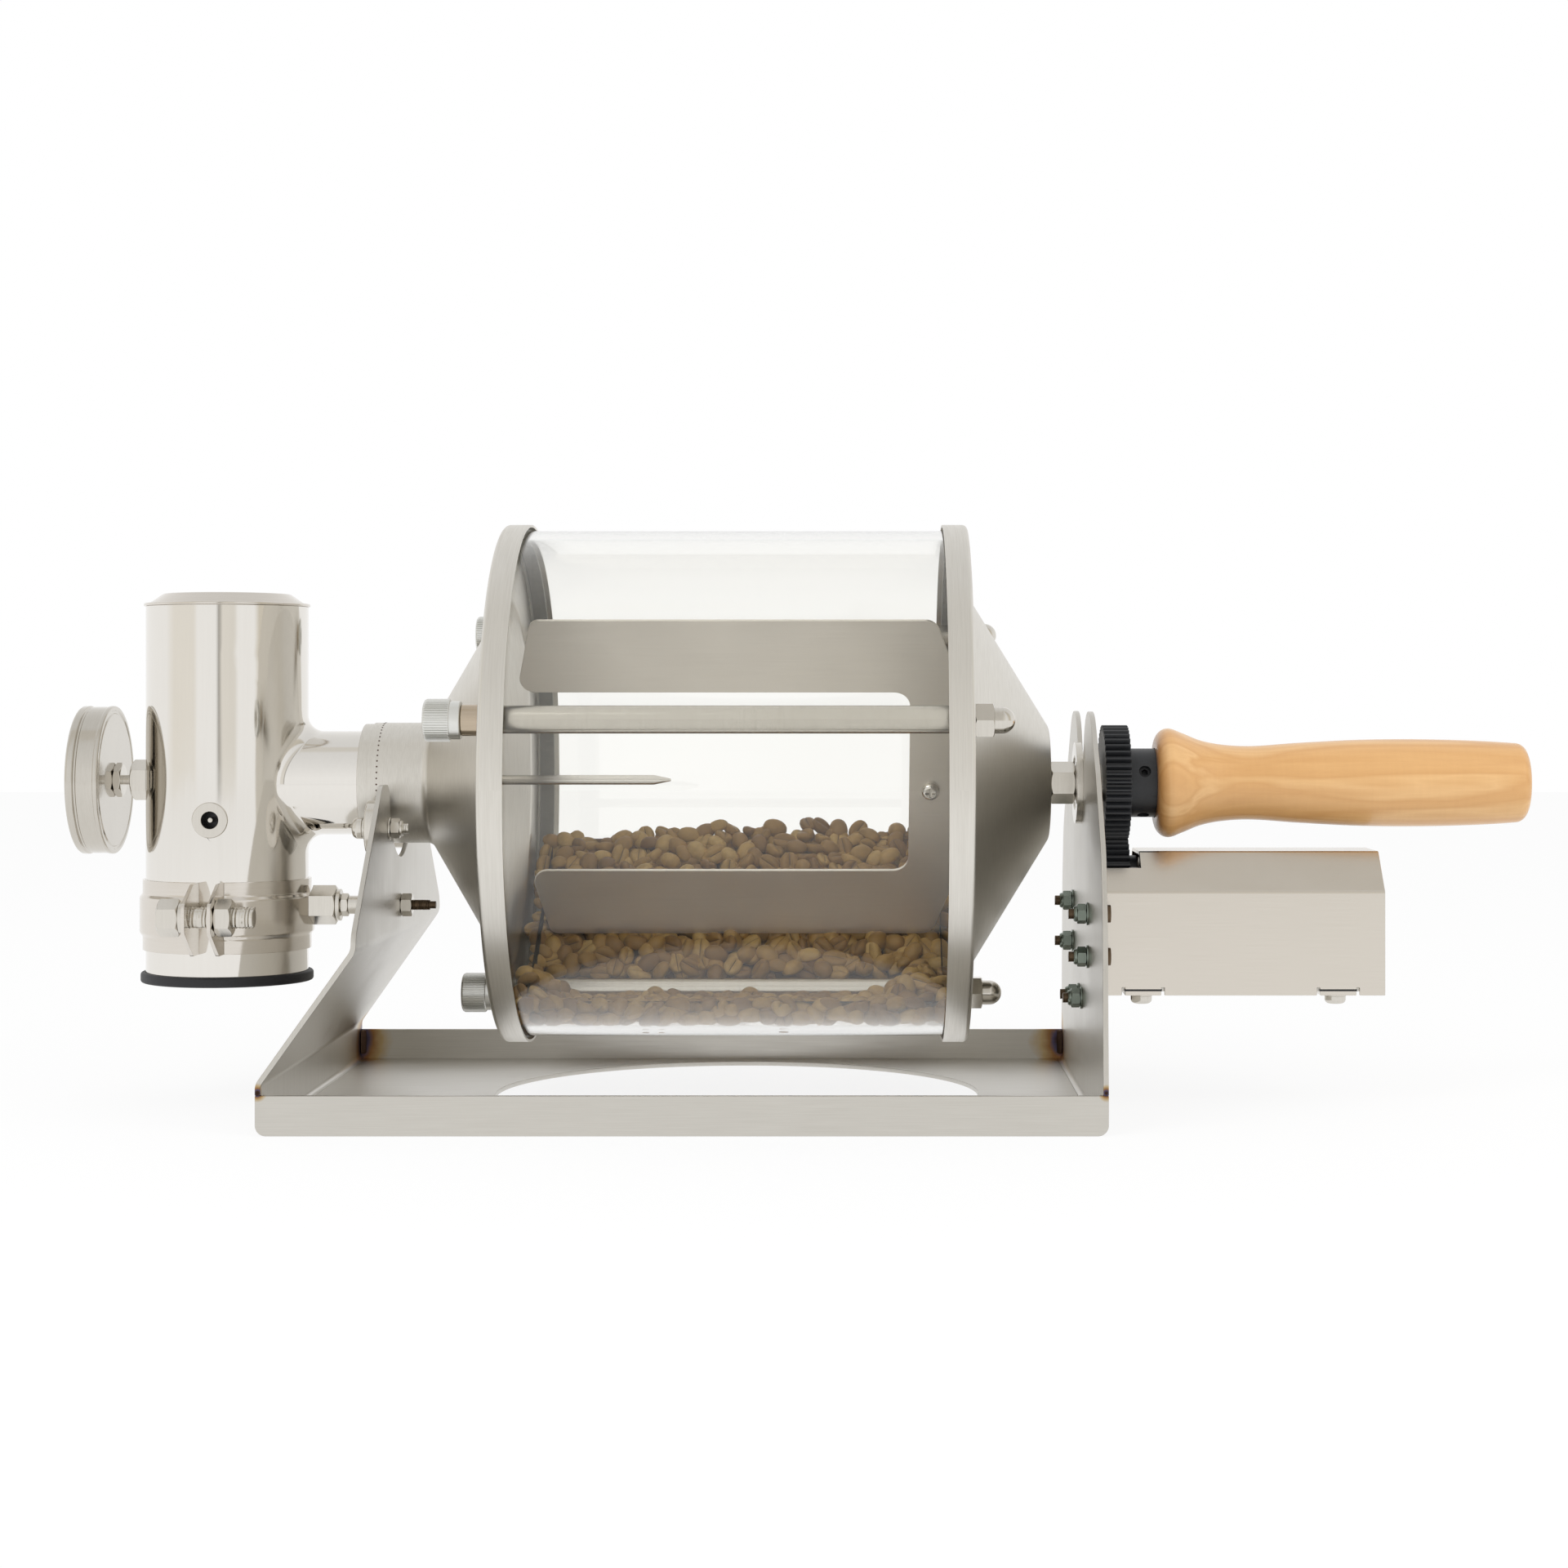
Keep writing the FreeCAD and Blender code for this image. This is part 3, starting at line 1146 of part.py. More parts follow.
boss_start_x = tee_x + bulge_radius
boss = nut_x(boss_across_flats, stud_radius, tee_x + tee_radius, boss_end_x, 0, stud_z)
parts["clamp_boss"] = boss.cut(band_envelope)
stud_start_x = boss_start_x + band_sheet
stud = rod_x(stud_radius, stud_start_x, stud_end_x - stud_tip_length, 0, stud_z)
parts["mount_stud"] = stud.fuse(rod_x(stud_tip_radius, stud_end_x - stud_tip_length, stud_end_x, 0, stud_z))
lock_nut_x = boss_end_x + boss_washer
lock_nut_end_x = lock_nut_x + lock_nut_height
parts["stud_nuts"] = group([
    ring_x(boss_washer_radius, stud_radius, boss_end_x, lock_nut_x, 0, stud_z),
    nut_x(lock_nut_across_flats, stud_radius, lock_nut_x, lock_nut_end_x, 0, stud_z),
    ring_x(stud_spacer_radius, stud_radius, lock_nut_end_x, left_plate_x, 0, stud_z),
    nut_x(lock_nut_across_flats, stud_radius, left_plate_inner_x,
          left_plate_inner_x + plate_nut_height, 0, stud_z)])

# ---------------------------------------------------------------- thermometer

back_plate_x = gauge_back_x - gauge_back_wall
dial_x = back_plate_x - gauge_dial_gap
dial_front_x = dial_x - gauge_dial
pointer_back_x = dial_front_x - pointer_gap
pointer_front_x = pointer_back_x - pointer_thickness
glass_front_x = gauge_front_x + gauge_bezel
case_inner = gauge_radius - gauge_wall
parts["gauge_case"] = turned_x(outline(
    [(gauge_front_x, gauge_bezel_radius, no_round), (gauge_front_x, gauge_radius, 1.5),
     (gauge_back_x, gauge_radius, 1.5), (gauge_back_x, probe_radius, no_round),
     (back_plate_x, probe_radius, no_round), (back_plate_x, case_inner, no_round),
     (glass_front_x, case_inner, no_round), (glass_front_x, gauge_bezel_radius, no_round)]), 0, probe_z)
parts["gauge_glass"] = rod_x(case_inner, glass_front_x, glass_front_x + gauge_glass, 0, probe_z)
dial_plate = ring_x(case_inner, pointer_pin_radius + pointer_pin_play, dial_front_x, dial_x, 0, probe_z)
dial_seat = ring_x(case_inner, case_inner - gauge_seat_width, dial_x, back_plate_x, 0, probe_z)
parts["gauge_dial"] = dial_plate.fuse(dial_seat).removeSplitter()

pointer = extrude_x(polygon(
    [(0, pointer_length), (pointer_width / 2, -pointer_tail), (-pointer_width / 2, -pointer_tail)]),
    pointer_front_x, pointer_back_x)
pointer = pointer.fuse(rod_x(pointer_boss_radius, pointer_front_x - pointer_thickness, pointer_back_x, 0, 0))
pointer = pointer.fuse(rod_x(pointer_pin_radius, pointer_back_x, dial_x, 0, 0))
pointer.rotate(Vector(0, 0, 0), along_x, pointer_rest_angle)
parts["gauge_pointer"] = moved(pointer, z=probe_z)

probe_shoulder_x = probe_tip_x - probe_tip_length
stem = rod_x(probe_radius, back_plate_x, probe_shoulder_x, 0, probe_z)
point = Part.makeCone(probe_radius, probe_tip_radius, probe_tip_length,
                      Vector(probe_shoulder_x, 0, probe_z), along_x)
collar = hex_bar(probe_hex_across_flats, gauge_back_x, gauge_back_x + probe_hex_length, 0, probe_z)
parts["probe_stem"] = stem.fuse(point).fuse(collar).removeSplitter()

thread_end_x = gland_nut_x + gland_nut_length + 1.5
gland = hex_bar(gland_across_flats, gland_hex_x, tee_left_x + 2, 0, probe_z).cut(tee_skin)
gland = gland.fuse(rod_x(gland_thread_radius, gland_hex_x + 2, thread_end_x, 0, probe_z))
gland = gland.cut(rod_x(probe_radius + probe_play, gland_hex_x, thread_end_x, 0, probe_z))
gland_nut = hex_bar(gland_nut_across_flats, gland_nut_x, gland_nut_x + gland_nut_length, 0, probe_z)
gland_nut = gland_nut.common(rod_z(tee_inner, tee_bottom_z, tee_top_z, tee_x))
gland_nut = gland_nut.cut(rod_x(gland_thread_radius, gland_nut_x, thread_end_x, 0, probe_z))
parts["probe_gland"] = group([gland, gland_nut])

# ---------------------------------------------------------------- files

os.makedirs("parts", exist_ok=True)
for name, shape in parts.items():
    if not shape.isValid():
        print(name, "is not a valid shape")
    shape.exportStep(os.path.join("parts", name + ".step"))
print(len(parts), "nodes written")
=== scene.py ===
import bmesh
import bpy
import json
import math
from mathutils import Matrix, Vector


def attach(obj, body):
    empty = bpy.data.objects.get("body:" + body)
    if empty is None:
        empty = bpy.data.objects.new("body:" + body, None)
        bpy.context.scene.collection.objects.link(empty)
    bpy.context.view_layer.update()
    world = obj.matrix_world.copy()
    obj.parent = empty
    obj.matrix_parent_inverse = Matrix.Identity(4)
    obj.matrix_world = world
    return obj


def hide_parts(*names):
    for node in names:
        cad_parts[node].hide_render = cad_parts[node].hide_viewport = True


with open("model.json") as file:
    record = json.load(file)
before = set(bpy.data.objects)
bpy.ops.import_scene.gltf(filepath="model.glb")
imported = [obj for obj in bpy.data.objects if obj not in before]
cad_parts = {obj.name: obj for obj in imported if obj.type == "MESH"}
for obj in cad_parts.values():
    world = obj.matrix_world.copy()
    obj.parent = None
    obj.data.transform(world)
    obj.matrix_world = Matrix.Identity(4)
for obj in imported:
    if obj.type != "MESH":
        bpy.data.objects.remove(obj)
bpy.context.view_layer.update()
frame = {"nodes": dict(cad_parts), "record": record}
record = frame["record"]
bodyOf = {node: body for body, nodes in record["behaviour"]["bodies"].items() for node in nodes}
mm = 0.001
drumHeight = 127.8
print("frame loaded")


# node helpers

def tone(red, green, blue):
    # 0 to 255 screen values to the linear colour a socket takes
    def linear(value):
        value /= 255
        return value / 12.92 if value <= 0.04045 else ((value + 0.055) / 1.055) ** 2.4
    return (linear(red), linear(green), linear(blue), 1.0)


def isSocket(value):
    return isinstance(value, bpy.types.NodeSocket)


def wire(made, values=(), **inputs):
    # fills a node's inputs, by place or by name, with constants or other nodes' sockets
    named = [(key.replace("_", " "), value) for key, value in inputs.items()]
    for key, value in [*enumerate(values), *named]:
        if isSocket(value):
            made.id_data.links.new(value, made.inputs[key])
        elif value is not None:
            made.inputs[key].default_value = value
    return made


def node(tree, kind, values=(), settings=None, **inputs):
    made = tree.nodes.new(kind)
    for key, value in (settings or {}).items():
        setattr(made, key, value)
    return wire(made, values, **inputs)


def treeOf(*values):
    return next(value.id_data for value in values if isSocket(value))


def maths(operation, *values):
    return node(treeOf(*values), "ShaderNodeMath", values, {"operation": operation}).outputs[0]


def plus(first, second):
    return maths("ADD", first, second)


def minus(first, second):
    return maths("SUBTRACT", first, second)


def times(first, second):
    return maths("MULTIPLY", first, second)


def blend(factor, first, second, mode="MIX"):
    # the two colours are a mix node's sixth and seventh inputs
    values = (factor, *[None] * 5, first, second)
    settings = {"data_type": "RGBA", "blend_type": mode}
    return node(treeOf(*values), "ShaderNodeMix", values, settings).outputs[2]


def ramp(factor, stops):
    made = node(factor.id_data, "ShaderNodeValToRGB", [factor])
    elements = made.color_ramp.elements
    while len(elements) > 1:
        elements.remove(elements[-1])
    for index, (place, color) in enumerate(stops):
        element = elements[0] if index == 0 else elements.new(place)
        element.position, element.color = place, color
    return made.outputs[0]


def noise(place, scale, detail, roughness=0.5, distortion=0.0):
    return node(place.id_data, "ShaderNodeTexNoise", Vector=place, Scale=scale, Detail=detail,
                Roughness=roughness, Distortion=distortion).outputs["Fac"]


def mapped(place, scale, rotation=(0, 0, 0)):
    return node(place.id_data, "ShaderNodeMapping", Vector=place, Scale=scale, Rotation=rotation).outputs[0]


def bump(height, strength, distance):
    return node(height.id_data, "ShaderNodeBump", Height=height, Strength=strength,
                Distance=distance).outputs[0]


def grouped(tree, group, **inputs):
    return node(tree, "ShaderNodeGroup", (), {"node_tree": group}, **inputs)


def newTree(name, kind, inputs, outputs):
    # an empty group with its sockets; an input is a name, a kind and a start value
    tree = bpy.data.node_groups.new(name, kind)
    for label, socket, value in inputs:
        made = tree.interface.new_socket(label, in_out="INPUT", socket_type="NodeSocket" + socket)
        if value is not None:
            made.default_value = value
    for label, socket in outputs:
        tree.interface.new_socket(label, in_out="OUTPUT", socket_type="NodeSocket" + socket)
    return tree, tree.nodes.new("NodeGroupInput").outputs, tree.nodes.new("NodeGroupOutput")


# shader groups

def makeGrainGroup():
    # fine lines along the unstretched axis, with handling smudges over them
    group, given, out = newTree("metalGrain", "ShaderNodeTree", [
        ("Vector", "Vector", None), ("Place", "Vector", None), ("Pale Color", "Color", (0.6, 0.6, 0.6, 1)),
        ("Deep Color", "Color", (0.4, 0.4, 0.4, 1)), ("Lines", "Float", 0.5), ("Smudges", "Float", 0.4),
        ("Roughness", "Float", 0.3), ("Depth", "Float", 0.2)],
        [("Color", "Color"), ("Roughness", "Float"), ("Normal", "Vector")])
    lines = noise(given["Vector"], 1.0, 4.0, 0.65)
    lineValue = times(minus(lines, 0.5), given["Lines"])
    smudgeValue = times(minus(noise(given["Place"], 26.0, 5.0, 0.6, 0.4), 0.5), given["Smudges"])
    total = plus(plus(lineValue, smudgeValue), 0.5)
    clamped = maths("MAXIMUM", maths("MINIMUM", total, 1.0), 0.0)
    rough = minus(plus(given["Roughness"], times(smudgeValue, 0.45)), times(lineValue, 0.3))
    wire(out, Color=blend(clamped, given["Deep Color"], given["Pale Color"]),
         Roughness=maths("MAXIMUM", rough, 0.03), Normal=bump(lines, given["Depth"], 0.00004))
    return group


def makeRoundGroup():
    # length, radius and a slow turn about an axis along X, for lines that run round a turned piece
    group, given, out = newTree("roundTheAxis", "ShaderNodeTree", [
        ("Vector", "Vector", None), ("Height", "Float", drumHeight * mm), ("Fineness", "Float", 2500.0),
        ("Turn", "Float", 6.0)], [("Vector", "Vector")])
    along, across, up = node(group, "ShaderNodeSeparateXYZ", [given["Vector"]]).outputs
    rise = minus(up, given["Height"])
    radius = maths("SQRT", plus(times(across, across), times(rise, rise)))
    angle = maths("ARCTAN2", rise, across)
    fine, slow = given["Fineness"], given["Turn"]
    stretched = [times(along, fine), times(radius, fine), times(angle, slow)]
    wire(out, Vector=node(group, "ShaderNodeCombineXYZ", stretched).outputs[0])
    return group


def makeHeatGroup():
    # straw, brown, blue and black rings round a weld at one place
    group, given, out = newTree("heatTint", "ShaderNodeTree", [
        ("Vector", "Vector", None), ("Weld", "Vector", None), ("Reach", "Float", 0.02),
        ("Color", "Color", (0.6, 0.6, 0.6, 1))], [("Color", "Color")])
    ends = [given["Vector"], given["Weld"]]
    distance = node(group, "ShaderNodeVectorMath", ends, {"operation": "DISTANCE"})
    share = maths("DIVIDE", distance.outputs["Value"], given["Reach"])
    uneven = plus(share, times(minus(noise(given["Vector"], 90.0, 3.0), 0.5), 0.5))
    stain = ramp(uneven, [(0.0, (0.05, 0.035, 0.03, 1)), (0.22, (0.10, 0.055, 0.04, 1)),
                          (0.36, (0.16, 0.15, 0.28, 1)), (0.5, (0.5, 0.27, 0.12, 1)),
                          (0.72, (0.85, 0.66, 0.4, 1)), (1.0, (1, 1, 1, 1))])
    wire(out, Color=blend(1.0, given["Color"], stain, "MULTIPLY"))
    return group


grainGroup, roundGroup, heatGroup = makeGrainGroup(), makeRoundGroup(), makeHeatGroup()


# materials

def plainMaterial(name, color, metallic=0.0, roughness=0.5, **sockets):
    made = bpy.data.materials.new(name)
    made.use_nodes = True
    made.diffuse_color = color
    surface = wire(made.node_tree.nodes["Principled BSDF"], Base_Color=color, Metallic=metallic,
                   Roughness=roughness, **sockets)
    return made, surface, made.node_tree.nodes.new("ShaderNodeTexCoord").outputs["Object"]


def metal(name, pale, deep, roughness, lines=0.5, smudges=0.4, depth=0.2, stretch=(40, 2600, 2600),
          around=None, welds=()):
    # brushed metal between two tones, with its lines stretched in place or run round an axis
    pale, deep = tone(*pale), tone(*deep)
    made, surface, place = plainMaterial(name, pale, 1.0, roughness)
    tree = made.node_tree
    if around is None:
        vector = mapped(place, stretch)
    else:
        vector = grouped(tree, roundGroup, Vector=place, Height=around * mm).outputs[0]
    grain = grouped(tree, grainGroup, Vector=vector, Place=place, Pale_Color=pale, Deep_Color=deep,
                    Lines=lines, Smudges=smudges, Roughness=roughness, Depth=depth).outputs
    color = grain["Color"]
    for weld, reach in welds:
        color = grouped(tree, heatGroup, Vector=place, Weld=tuple(v * mm for v in weld), Reach=reach * mm,
                        Color=color).outputs[0]
    wire(surface, Base_Color=color, Roughness=grain["Roughness"], Normal=grain["Normal"])
    return made


def speckled(name, color, other, roughness, scale, metallic=0.0, raised=0.0):
    color = tone(*color)
    made, surface, place = plainMaterial(name, color, metallic, roughness)
    spots = noise(place, scale, 5.0, 0.6)
    wire(surface, Base_Color=blend(spots, color, tone(*other)),
         Roughness=plus(times(spots, 0.16), roughness - 0.08))
    if raised:
        wire(surface, Normal=bump(spots, raised, 0.0002))
    return made


# places and reaches of the heat marks at the tray's corners
cornerWelds = [((-173, 108, 10), 15), ((141, 108, 10), 15), ((-173, -110, 16), 3.5), ((141, -110, 16), 3.5)]
sheetPale, sheetDeep = (218, 215, 208), (192, 188, 180)
sheetLong = metal("sheetSteelLong", sheetPale, sheetDeep, 0.34, 0.7, 0.35, welds=cornerWelds)
sheetUpright = metal("sheetSteelUpright", sheetPale, sheetDeep, 0.33, 0.7, 0.4, stretch=(2600, 2600, 40),
                     welds=cornerWelds)
capSteel = metal("capSteel", (234, 231, 224), (208, 204, 196), 0.41, 0.8, 0.35, around=drumHeight)
paddleSteel = metal("paddleSteel", (240, 234, 223), (220, 213, 201), 0.46, 0.5, 0.45)
rodSteel = metal("rodSteel", (212, 208, 198), (178, 172, 160), 0.22, 0.6, 0.2, stretch=(2600, 60, 60))
tubeSteel = metal("tubeSteel", (236, 233, 228), (222, 218, 211), 0.075, 0.25, 0.3, 0.05, (900, 900, 25))
bandSteel = metal("bandSteel", (228, 223, 216), (206, 199, 189), 0.14, 0.3, 0.5, 0.08, (60, 60, 1500))
coverSteel = metal("coverSteel", (222, 216, 207), (208, 201, 190), 0.2, 0.35, 0.35, 0.08)
caseSteel = metal("caseSteel", (220, 216, 208), (180, 174, 164), 0.13, 0.3, 0.5, 0.06, around=129.0)
brightSteel = metal("brightSteel", (226, 222, 214), (200, 195, 186), 0.18, stretch=(2000, 60, 60))
zincGreen = metal("zincGreen", (150, 158, 148), (112, 124, 116), 0.3, 0.4, 0.8, stretch=(1200, 300, 300))
threadBrown = metal("threadBrown", (122, 104, 84), (84, 70, 56), 0.42, 0.5, 0.8, stretch=(900, 300, 300))
knobMetal = metal("knobMetal", (240, 240, 236), (212, 212, 208), 0.34, 0.3, 0.3, stretch=(1200, 1200, 1200))
nickelTone = metal("nickelTone", (208, 194, 174), (170, 154, 132), 0.16, 0.4, stretch=(60, 900, 900))
weldMetal = metal("weldMetal", (120, 96, 80), (58, 46, 44), 0.45, 0.4, 0.9, 0.6, (500, 500, 900))
motorMetal = metal("motorMetal", (176, 176, 176), (140, 140, 142), 0.35)
gearBlack = speckled("gearBlack", (26, 27, 29), (44, 46, 50), 0.42, 900, raised=0.15)
blackSteel = speckled("blackSteel", (22, 22, 24), (40, 40, 42), 0.35, 700, metallic=0.6)
rubberBlack = speckled("rubberBlack", (24, 24, 27), (38, 38, 42), 0.55, 500, raised=0.2)
siliconePale = speckled("siliconePale", (186, 184, 176), (160, 158, 150), 0.5, 300, raised=0.1)
fanBlack = speckled("fanBlack", (24, 24, 26), (40, 40, 43), 0.45, 600, raised=0.1)
# near black for the sockets' insides, and for the painted shade in the cover's tab slits
socketBlackAndGapShade = speckled("socketBlackAndGapShade", (10, 10, 11), (22, 22, 24), 0.28, 400)
dialWhite = speckled("dialWhite", (236, 236, 230), (224, 223, 216), 0.45, 120)
inkBlack = speckled("inkBlack", (20, 20, 22), (34, 34, 36), 0.5, 300)
pointerBlack = speckled("pointerBlack", (20, 20, 22), (42, 42, 46), 0.35, 500)
# dark brown for the mass under the beans, painted shade in the gaps between them
pileShade = speckled("pileShade", (96, 68, 34), (132, 98, 52), 0.8, 260, raised=0.4)


def glassMaterial(name, color):
    # clear glass with a faint film
    made, surface, place = plainMaterial(name, color, 0.0, 0.0, Transmission_Weight=1.0, IOR=1.45)
    film = noise(place, 9.0, 5.0, 0.65)
    tinted = tuple(value * 0.985 for value in color[:3]) + (1,)
    wire(surface, Roughness=times(maths("MAXIMUM", minus(film, 0.5), 0.0), 0.12),
         Base_Color=blend(film, color, tinted))
    return made


def woodMaterial():
    # long rings, fine pores and short flecks, darker on the front face, partly as end grain and partly as
    # painted shade
    made, surface, place = plainMaterial("handleWood", tone(226, 180, 120), 0.0, 0.36, Coat_Weight=0.35,
                                         Coat_Roughness=0.12)
    rings = noise(mapped(place, (5, 95, 62), (0.3, 0.012, 0.018)), 1.0, 3.0, 0.5, 0.25)
    pores = noise(mapped(place, (120, 2400, 2400)), 1.0, 4.0, 0.7)
    flecks = noise(mapped(place, (700, 90, 90)), 1.0, 2.0)
    body = ramp(rings, [(place, tone(*color)) for place, *color in (
        (0.2, 208, 156, 98), (0.42, 224, 176, 116), (0.5, 216, 166, 106), (0.57, 232, 188, 130),
        (0.68, 214, 164, 104), (0.85, 232, 192, 136))])
    shade = plus(times(pores, 0.34), times(flecks, 0.16))
    grained = blend(times(shade, 0.62), body, tone(170, 116, 64))
    along = node(made.node_tree, "ShaderNodeSeparateXYZ", [place]).outputs[0]
    # the front face is darkened as end grain and as painted shade
    endGrainAndShade = ramp(times(minus(along, 0.1695), 200.0), [
        (0.1, (0.72, 0.6, 0.5, 1)), (0.55, (0.9, 0.84, 0.78, 1)), (1.0, (1, 1, 1, 1))])
    wire(surface, Base_Color=blend(1.0, grained, endGrainAndShade, "MULTIPLY"), Normal=bump(pores, 0.12, 0.0002))
    return made


def beanMaterial():
    # each bean has its own tone, a mottled skin and painted shade along its crease
    made, surface, place = plainMaterial("greenCoffee", tone(150, 118, 66), 0.0, 0.5)
    tint, creaseShade = (node(made.node_tree, "ShaderNodeAttribute", (), {"attribute_name": name}).outputs["Fac"]
                    for name in ("beanTint", "beanCreaseShade"))
    skin = noise(place, 420.0, 4.0, 0.65)
    base = ramp(tint, [(0.0, tone(140, 102, 46)), (0.35, tone(174, 134, 64)), (0.7, tone(196, 156, 80)),
                       (1.0, tone(222, 186, 112))])
    # painted shade along the crease
    line = ramp(creaseShade, [(0.45, (0, 0, 0, 1)), (0.8, (0.75, 0.75, 0.75, 1))])
    skinned = blend(times(skin, 0.6), base, tone(112, 78, 36))
    wire(surface, Base_Color=blend(line, skinned, tone(78, 54, 26)), Normal=bump(skin, 0.35, 0.0003))
    return made


drumGlass = glassMaterial("drumGlass", (0.995, 0.993, 0.975, 1))
lensGlass = glassMaterial("lensGlass", (0.99, 0.995, 0.995, 1))
handleWood, greenCoffee = woodMaterial(), beanMaterial()
print("materials ready")


# mesh helpers, sizes in millimetres

def inScene(name, data):
    made = bpy.data.objects.new(name, data)
    bpy.context.scene.collection.objects.link(made)
    return made


def toObject(name, verts, faces):
    mesh = bpy.data.meshes.new(name)
    mesh.from_pydata([(x * mm, y * mm, z * mm) for x, y, z in verts], [], faces)
    shape = bmesh.new()
    shape.from_mesh(mesh)
    bmesh.ops.remove_doubles(shape, verts=shape.verts, dist=2e-6)
    bmesh.ops.recalc_face_normals(shape, faces=shape.faces)
    shape.to_mesh(mesh)
    shape.free()
    return inScene(name, mesh)


def quads(rows, size, loop=True, ring=False, base=0):
    # faces between rows of size points; a loop closes each row, a ring joins the last row to the first
    def at(row, column):
        return base + row % rows * size + column % size
    return [(at(row, column), at(row, column + 1), at(row + 1, column + 1), at(row + 1, column))
            for row in range(rows if ring else rows - 1) for column in range(size if loop else size - 1)]


def lofted(name, rows):
    # matching closed loops joined up, with both ends capped
    size, count = len(rows[0]), len(rows)
    ends = [tuple(range(size)), tuple(range((count - 1) * size, count * size))]
    return toObject(name, [point for row in rows for point in row], quads(count, size) + ends)


def baked(obj):
    # the evaluated shape as a plain mesh, with the modifiers gone
    depsgraph = bpy.context.evaluated_depsgraph_get()
    depsgraph.update()
    mesh = bpy.data.meshes.new_from_object(obj.evaluated_get(depsgraph))
    obj.modifiers.clear()
    obj.data = mesh
    return obj


def smoothed(obj, angle=32):
    # soft rounds beside flat faces that stay flat
    obj.data.polygons.foreach_set("use_smooth", [True] * len(obj.data.polygons))
    obj.data.set_sharp_from_angle(angle=math.radians(angle))
    obj.modifiers.new("weighing", "WEIGHTED_NORMAL").keep_sharp = True
    return baked(obj)


def rounded(obj, width, angle=32):
    made = obj.modifiers.new("rounding", "BEVEL")
    made.width, made.segments = width * mm, 2
    made.limit_method, made.angle_limit = "ANGLE", math.radians(angle)
    made.use_clamp_overlap = False
    return baked(obj)


def finishPiece(obj, material, nodes, body=None, angle=32, parts=()):
    # parts are (material, test of a face's middle in millimetres) pairs
    if material is not None:
        obj.data.materials.clear()
        obj.data.materials.append(material)
    for index, (other, test) in enumerate(parts, 1):
        obj.data.materials.append(other)
        for polygon in obj.data.polygons:
            if test(*(polygon.center / mm)):
                polygon.material_index = index
    smoothed(obj, angle)
    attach(obj, body or bodyOf[nodes[0]])
    if nodes:
        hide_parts(*nodes)
    return obj


def roundedLoop(corners, steps):
    # closed profile of (along, out, corner radius) with arcs at its corners
    points = []
    for index, (along, out, radius) in enumerate(corners):
        here = Vector((along, out))
        if radius <= 0:
            points.append(here)
            continue
        before = (Vector(corners[index - 1][:2]) - here).normalized()
        after = (Vector(corners[(index + 1) % len(corners)][:2]) - here).normalized()
        half = before.angle(after) / 2
        centre = here + (before + after).normalized() * (radius / math.sin(half))
        start = here + before * (radius / math.tan(half)) - centre
        end = here + after * (radius / math.tan(half)) - centre
        first, last = math.atan2(start.y, start.x), math.atan2(end.y, end.x)
        turn = (last - first + math.pi) % (2 * math.pi) - math.pi
        for step in range(steps + 1):
            angle = first + turn * step / steps
            points.append(centre + Vector((math.cos(angle), math.sin(angle))) * radius)
    return points


def spun(name, loop, centre=(0, drumHeight), axis="X", steps=160, arcs=0):
    # turns a closed loop of (along, out) about an axis; arcs is the count of steps in its rounded corners
    loop = roundedLoop(loop, arcs) if arcs else loop
    verts = []
    for step in range(steps):
        turn = 2 * math.pi * step / steps
        for along, out in loop:
            across = (centre[0] + out * math.cos(turn), centre[1] + out * math.sin(turn))
            verts.append((along, *across) if axis == "X" else (*across, along))
    return toObject(name, verts, quads(steps, len(loop), ring=True))


def sleeve(start, end, inner, outer, edge, arcs=3, steps=48):
    # a short tube along X about the origin
    loop = [(start, inner, 0), (start, outer, edge), (end, outer, edge), (end, inner, 0)]
    return spun("sleeve", loop, (0, 0), steps=steps, arcs=arcs)


def between(start, end, count):
    # even steps, both ends included
    return [start + (end - start) * step / count for step in range(count + 1)]


def picked(sizes, *keys):
    return [sizes[key] for key in keys]


def quarterTurn(count):
    return between(0, math.pi / 2, count)


def copyOf(cadNode, name):
    # a merged copy of a CAD node's mesh with its flat faces joined up
    made = inScene(name, frame["nodes"][cadNode].data.copy())
    shape = bmesh.new()
    shape.from_mesh(made.data)
    bmesh.ops.remove_doubles(shape, verts=shape.verts, dist=4e-6)
    bmesh.ops.dissolve_limit(shape, angle_limit=math.radians(0.6), verts=shape.verts, edges=shape.edges)
    shape.to_mesh(made.data)
    shape.free()
    stale = made.data.attributes.get("custom_normal")
    if stale:
        made.data.attributes.remove(stale)
    return made


def dressed(cadNode, name, material, rounding):
    made = copyOf(cadNode, name)
    if rounding:
        rounded(made, rounding)
    return finishPiece(made, material, [cadNode])


def putTogether(name, objects):
    # joins plain meshes into one piece
    shape = bmesh.new()
    for obj in objects:
        shape.from_mesh(obj.data)
    mesh = bpy.data.meshes.new(name)
    shape.to_mesh(mesh)
    shape.free()
    for material in objects[0].data.materials:
        mesh.materials.append(material)
    for obj in objects:
        bpy.data.objects.remove(obj)
    return inScene(name, mesh)


# geometry node trees

def growTree(name, sockets):
    # a tree that takes points or a skin, and ends in one material
    sockets = [("Geometry", "Geometry", None), *sockets, ("Material", "Material", None)]
    return newTree(name, "GeometryNodeTree", sockets, [("Geometry", "Geometry")])


def endTree(geometry, given, out):
    tree = geometry.id_data
    plain = node(tree, "GeometryNodeRealizeInstances", [geometry]).outputs[0]
    painted = node(tree, "GeometryNodeSetMaterial", Geometry=plain, Material=given["Material"])
    wire(out, [painted.outputs[0]])
    return tree


def shapeOf(item):
    return node(item.id_data, "GeometryNodeObjectInfo", Object=item).outputs["Geometry"]


def rotationOf(angles):
    return node(angles.id_data, "FunctionNodeEulerToRotation", [angles]).outputs[0]


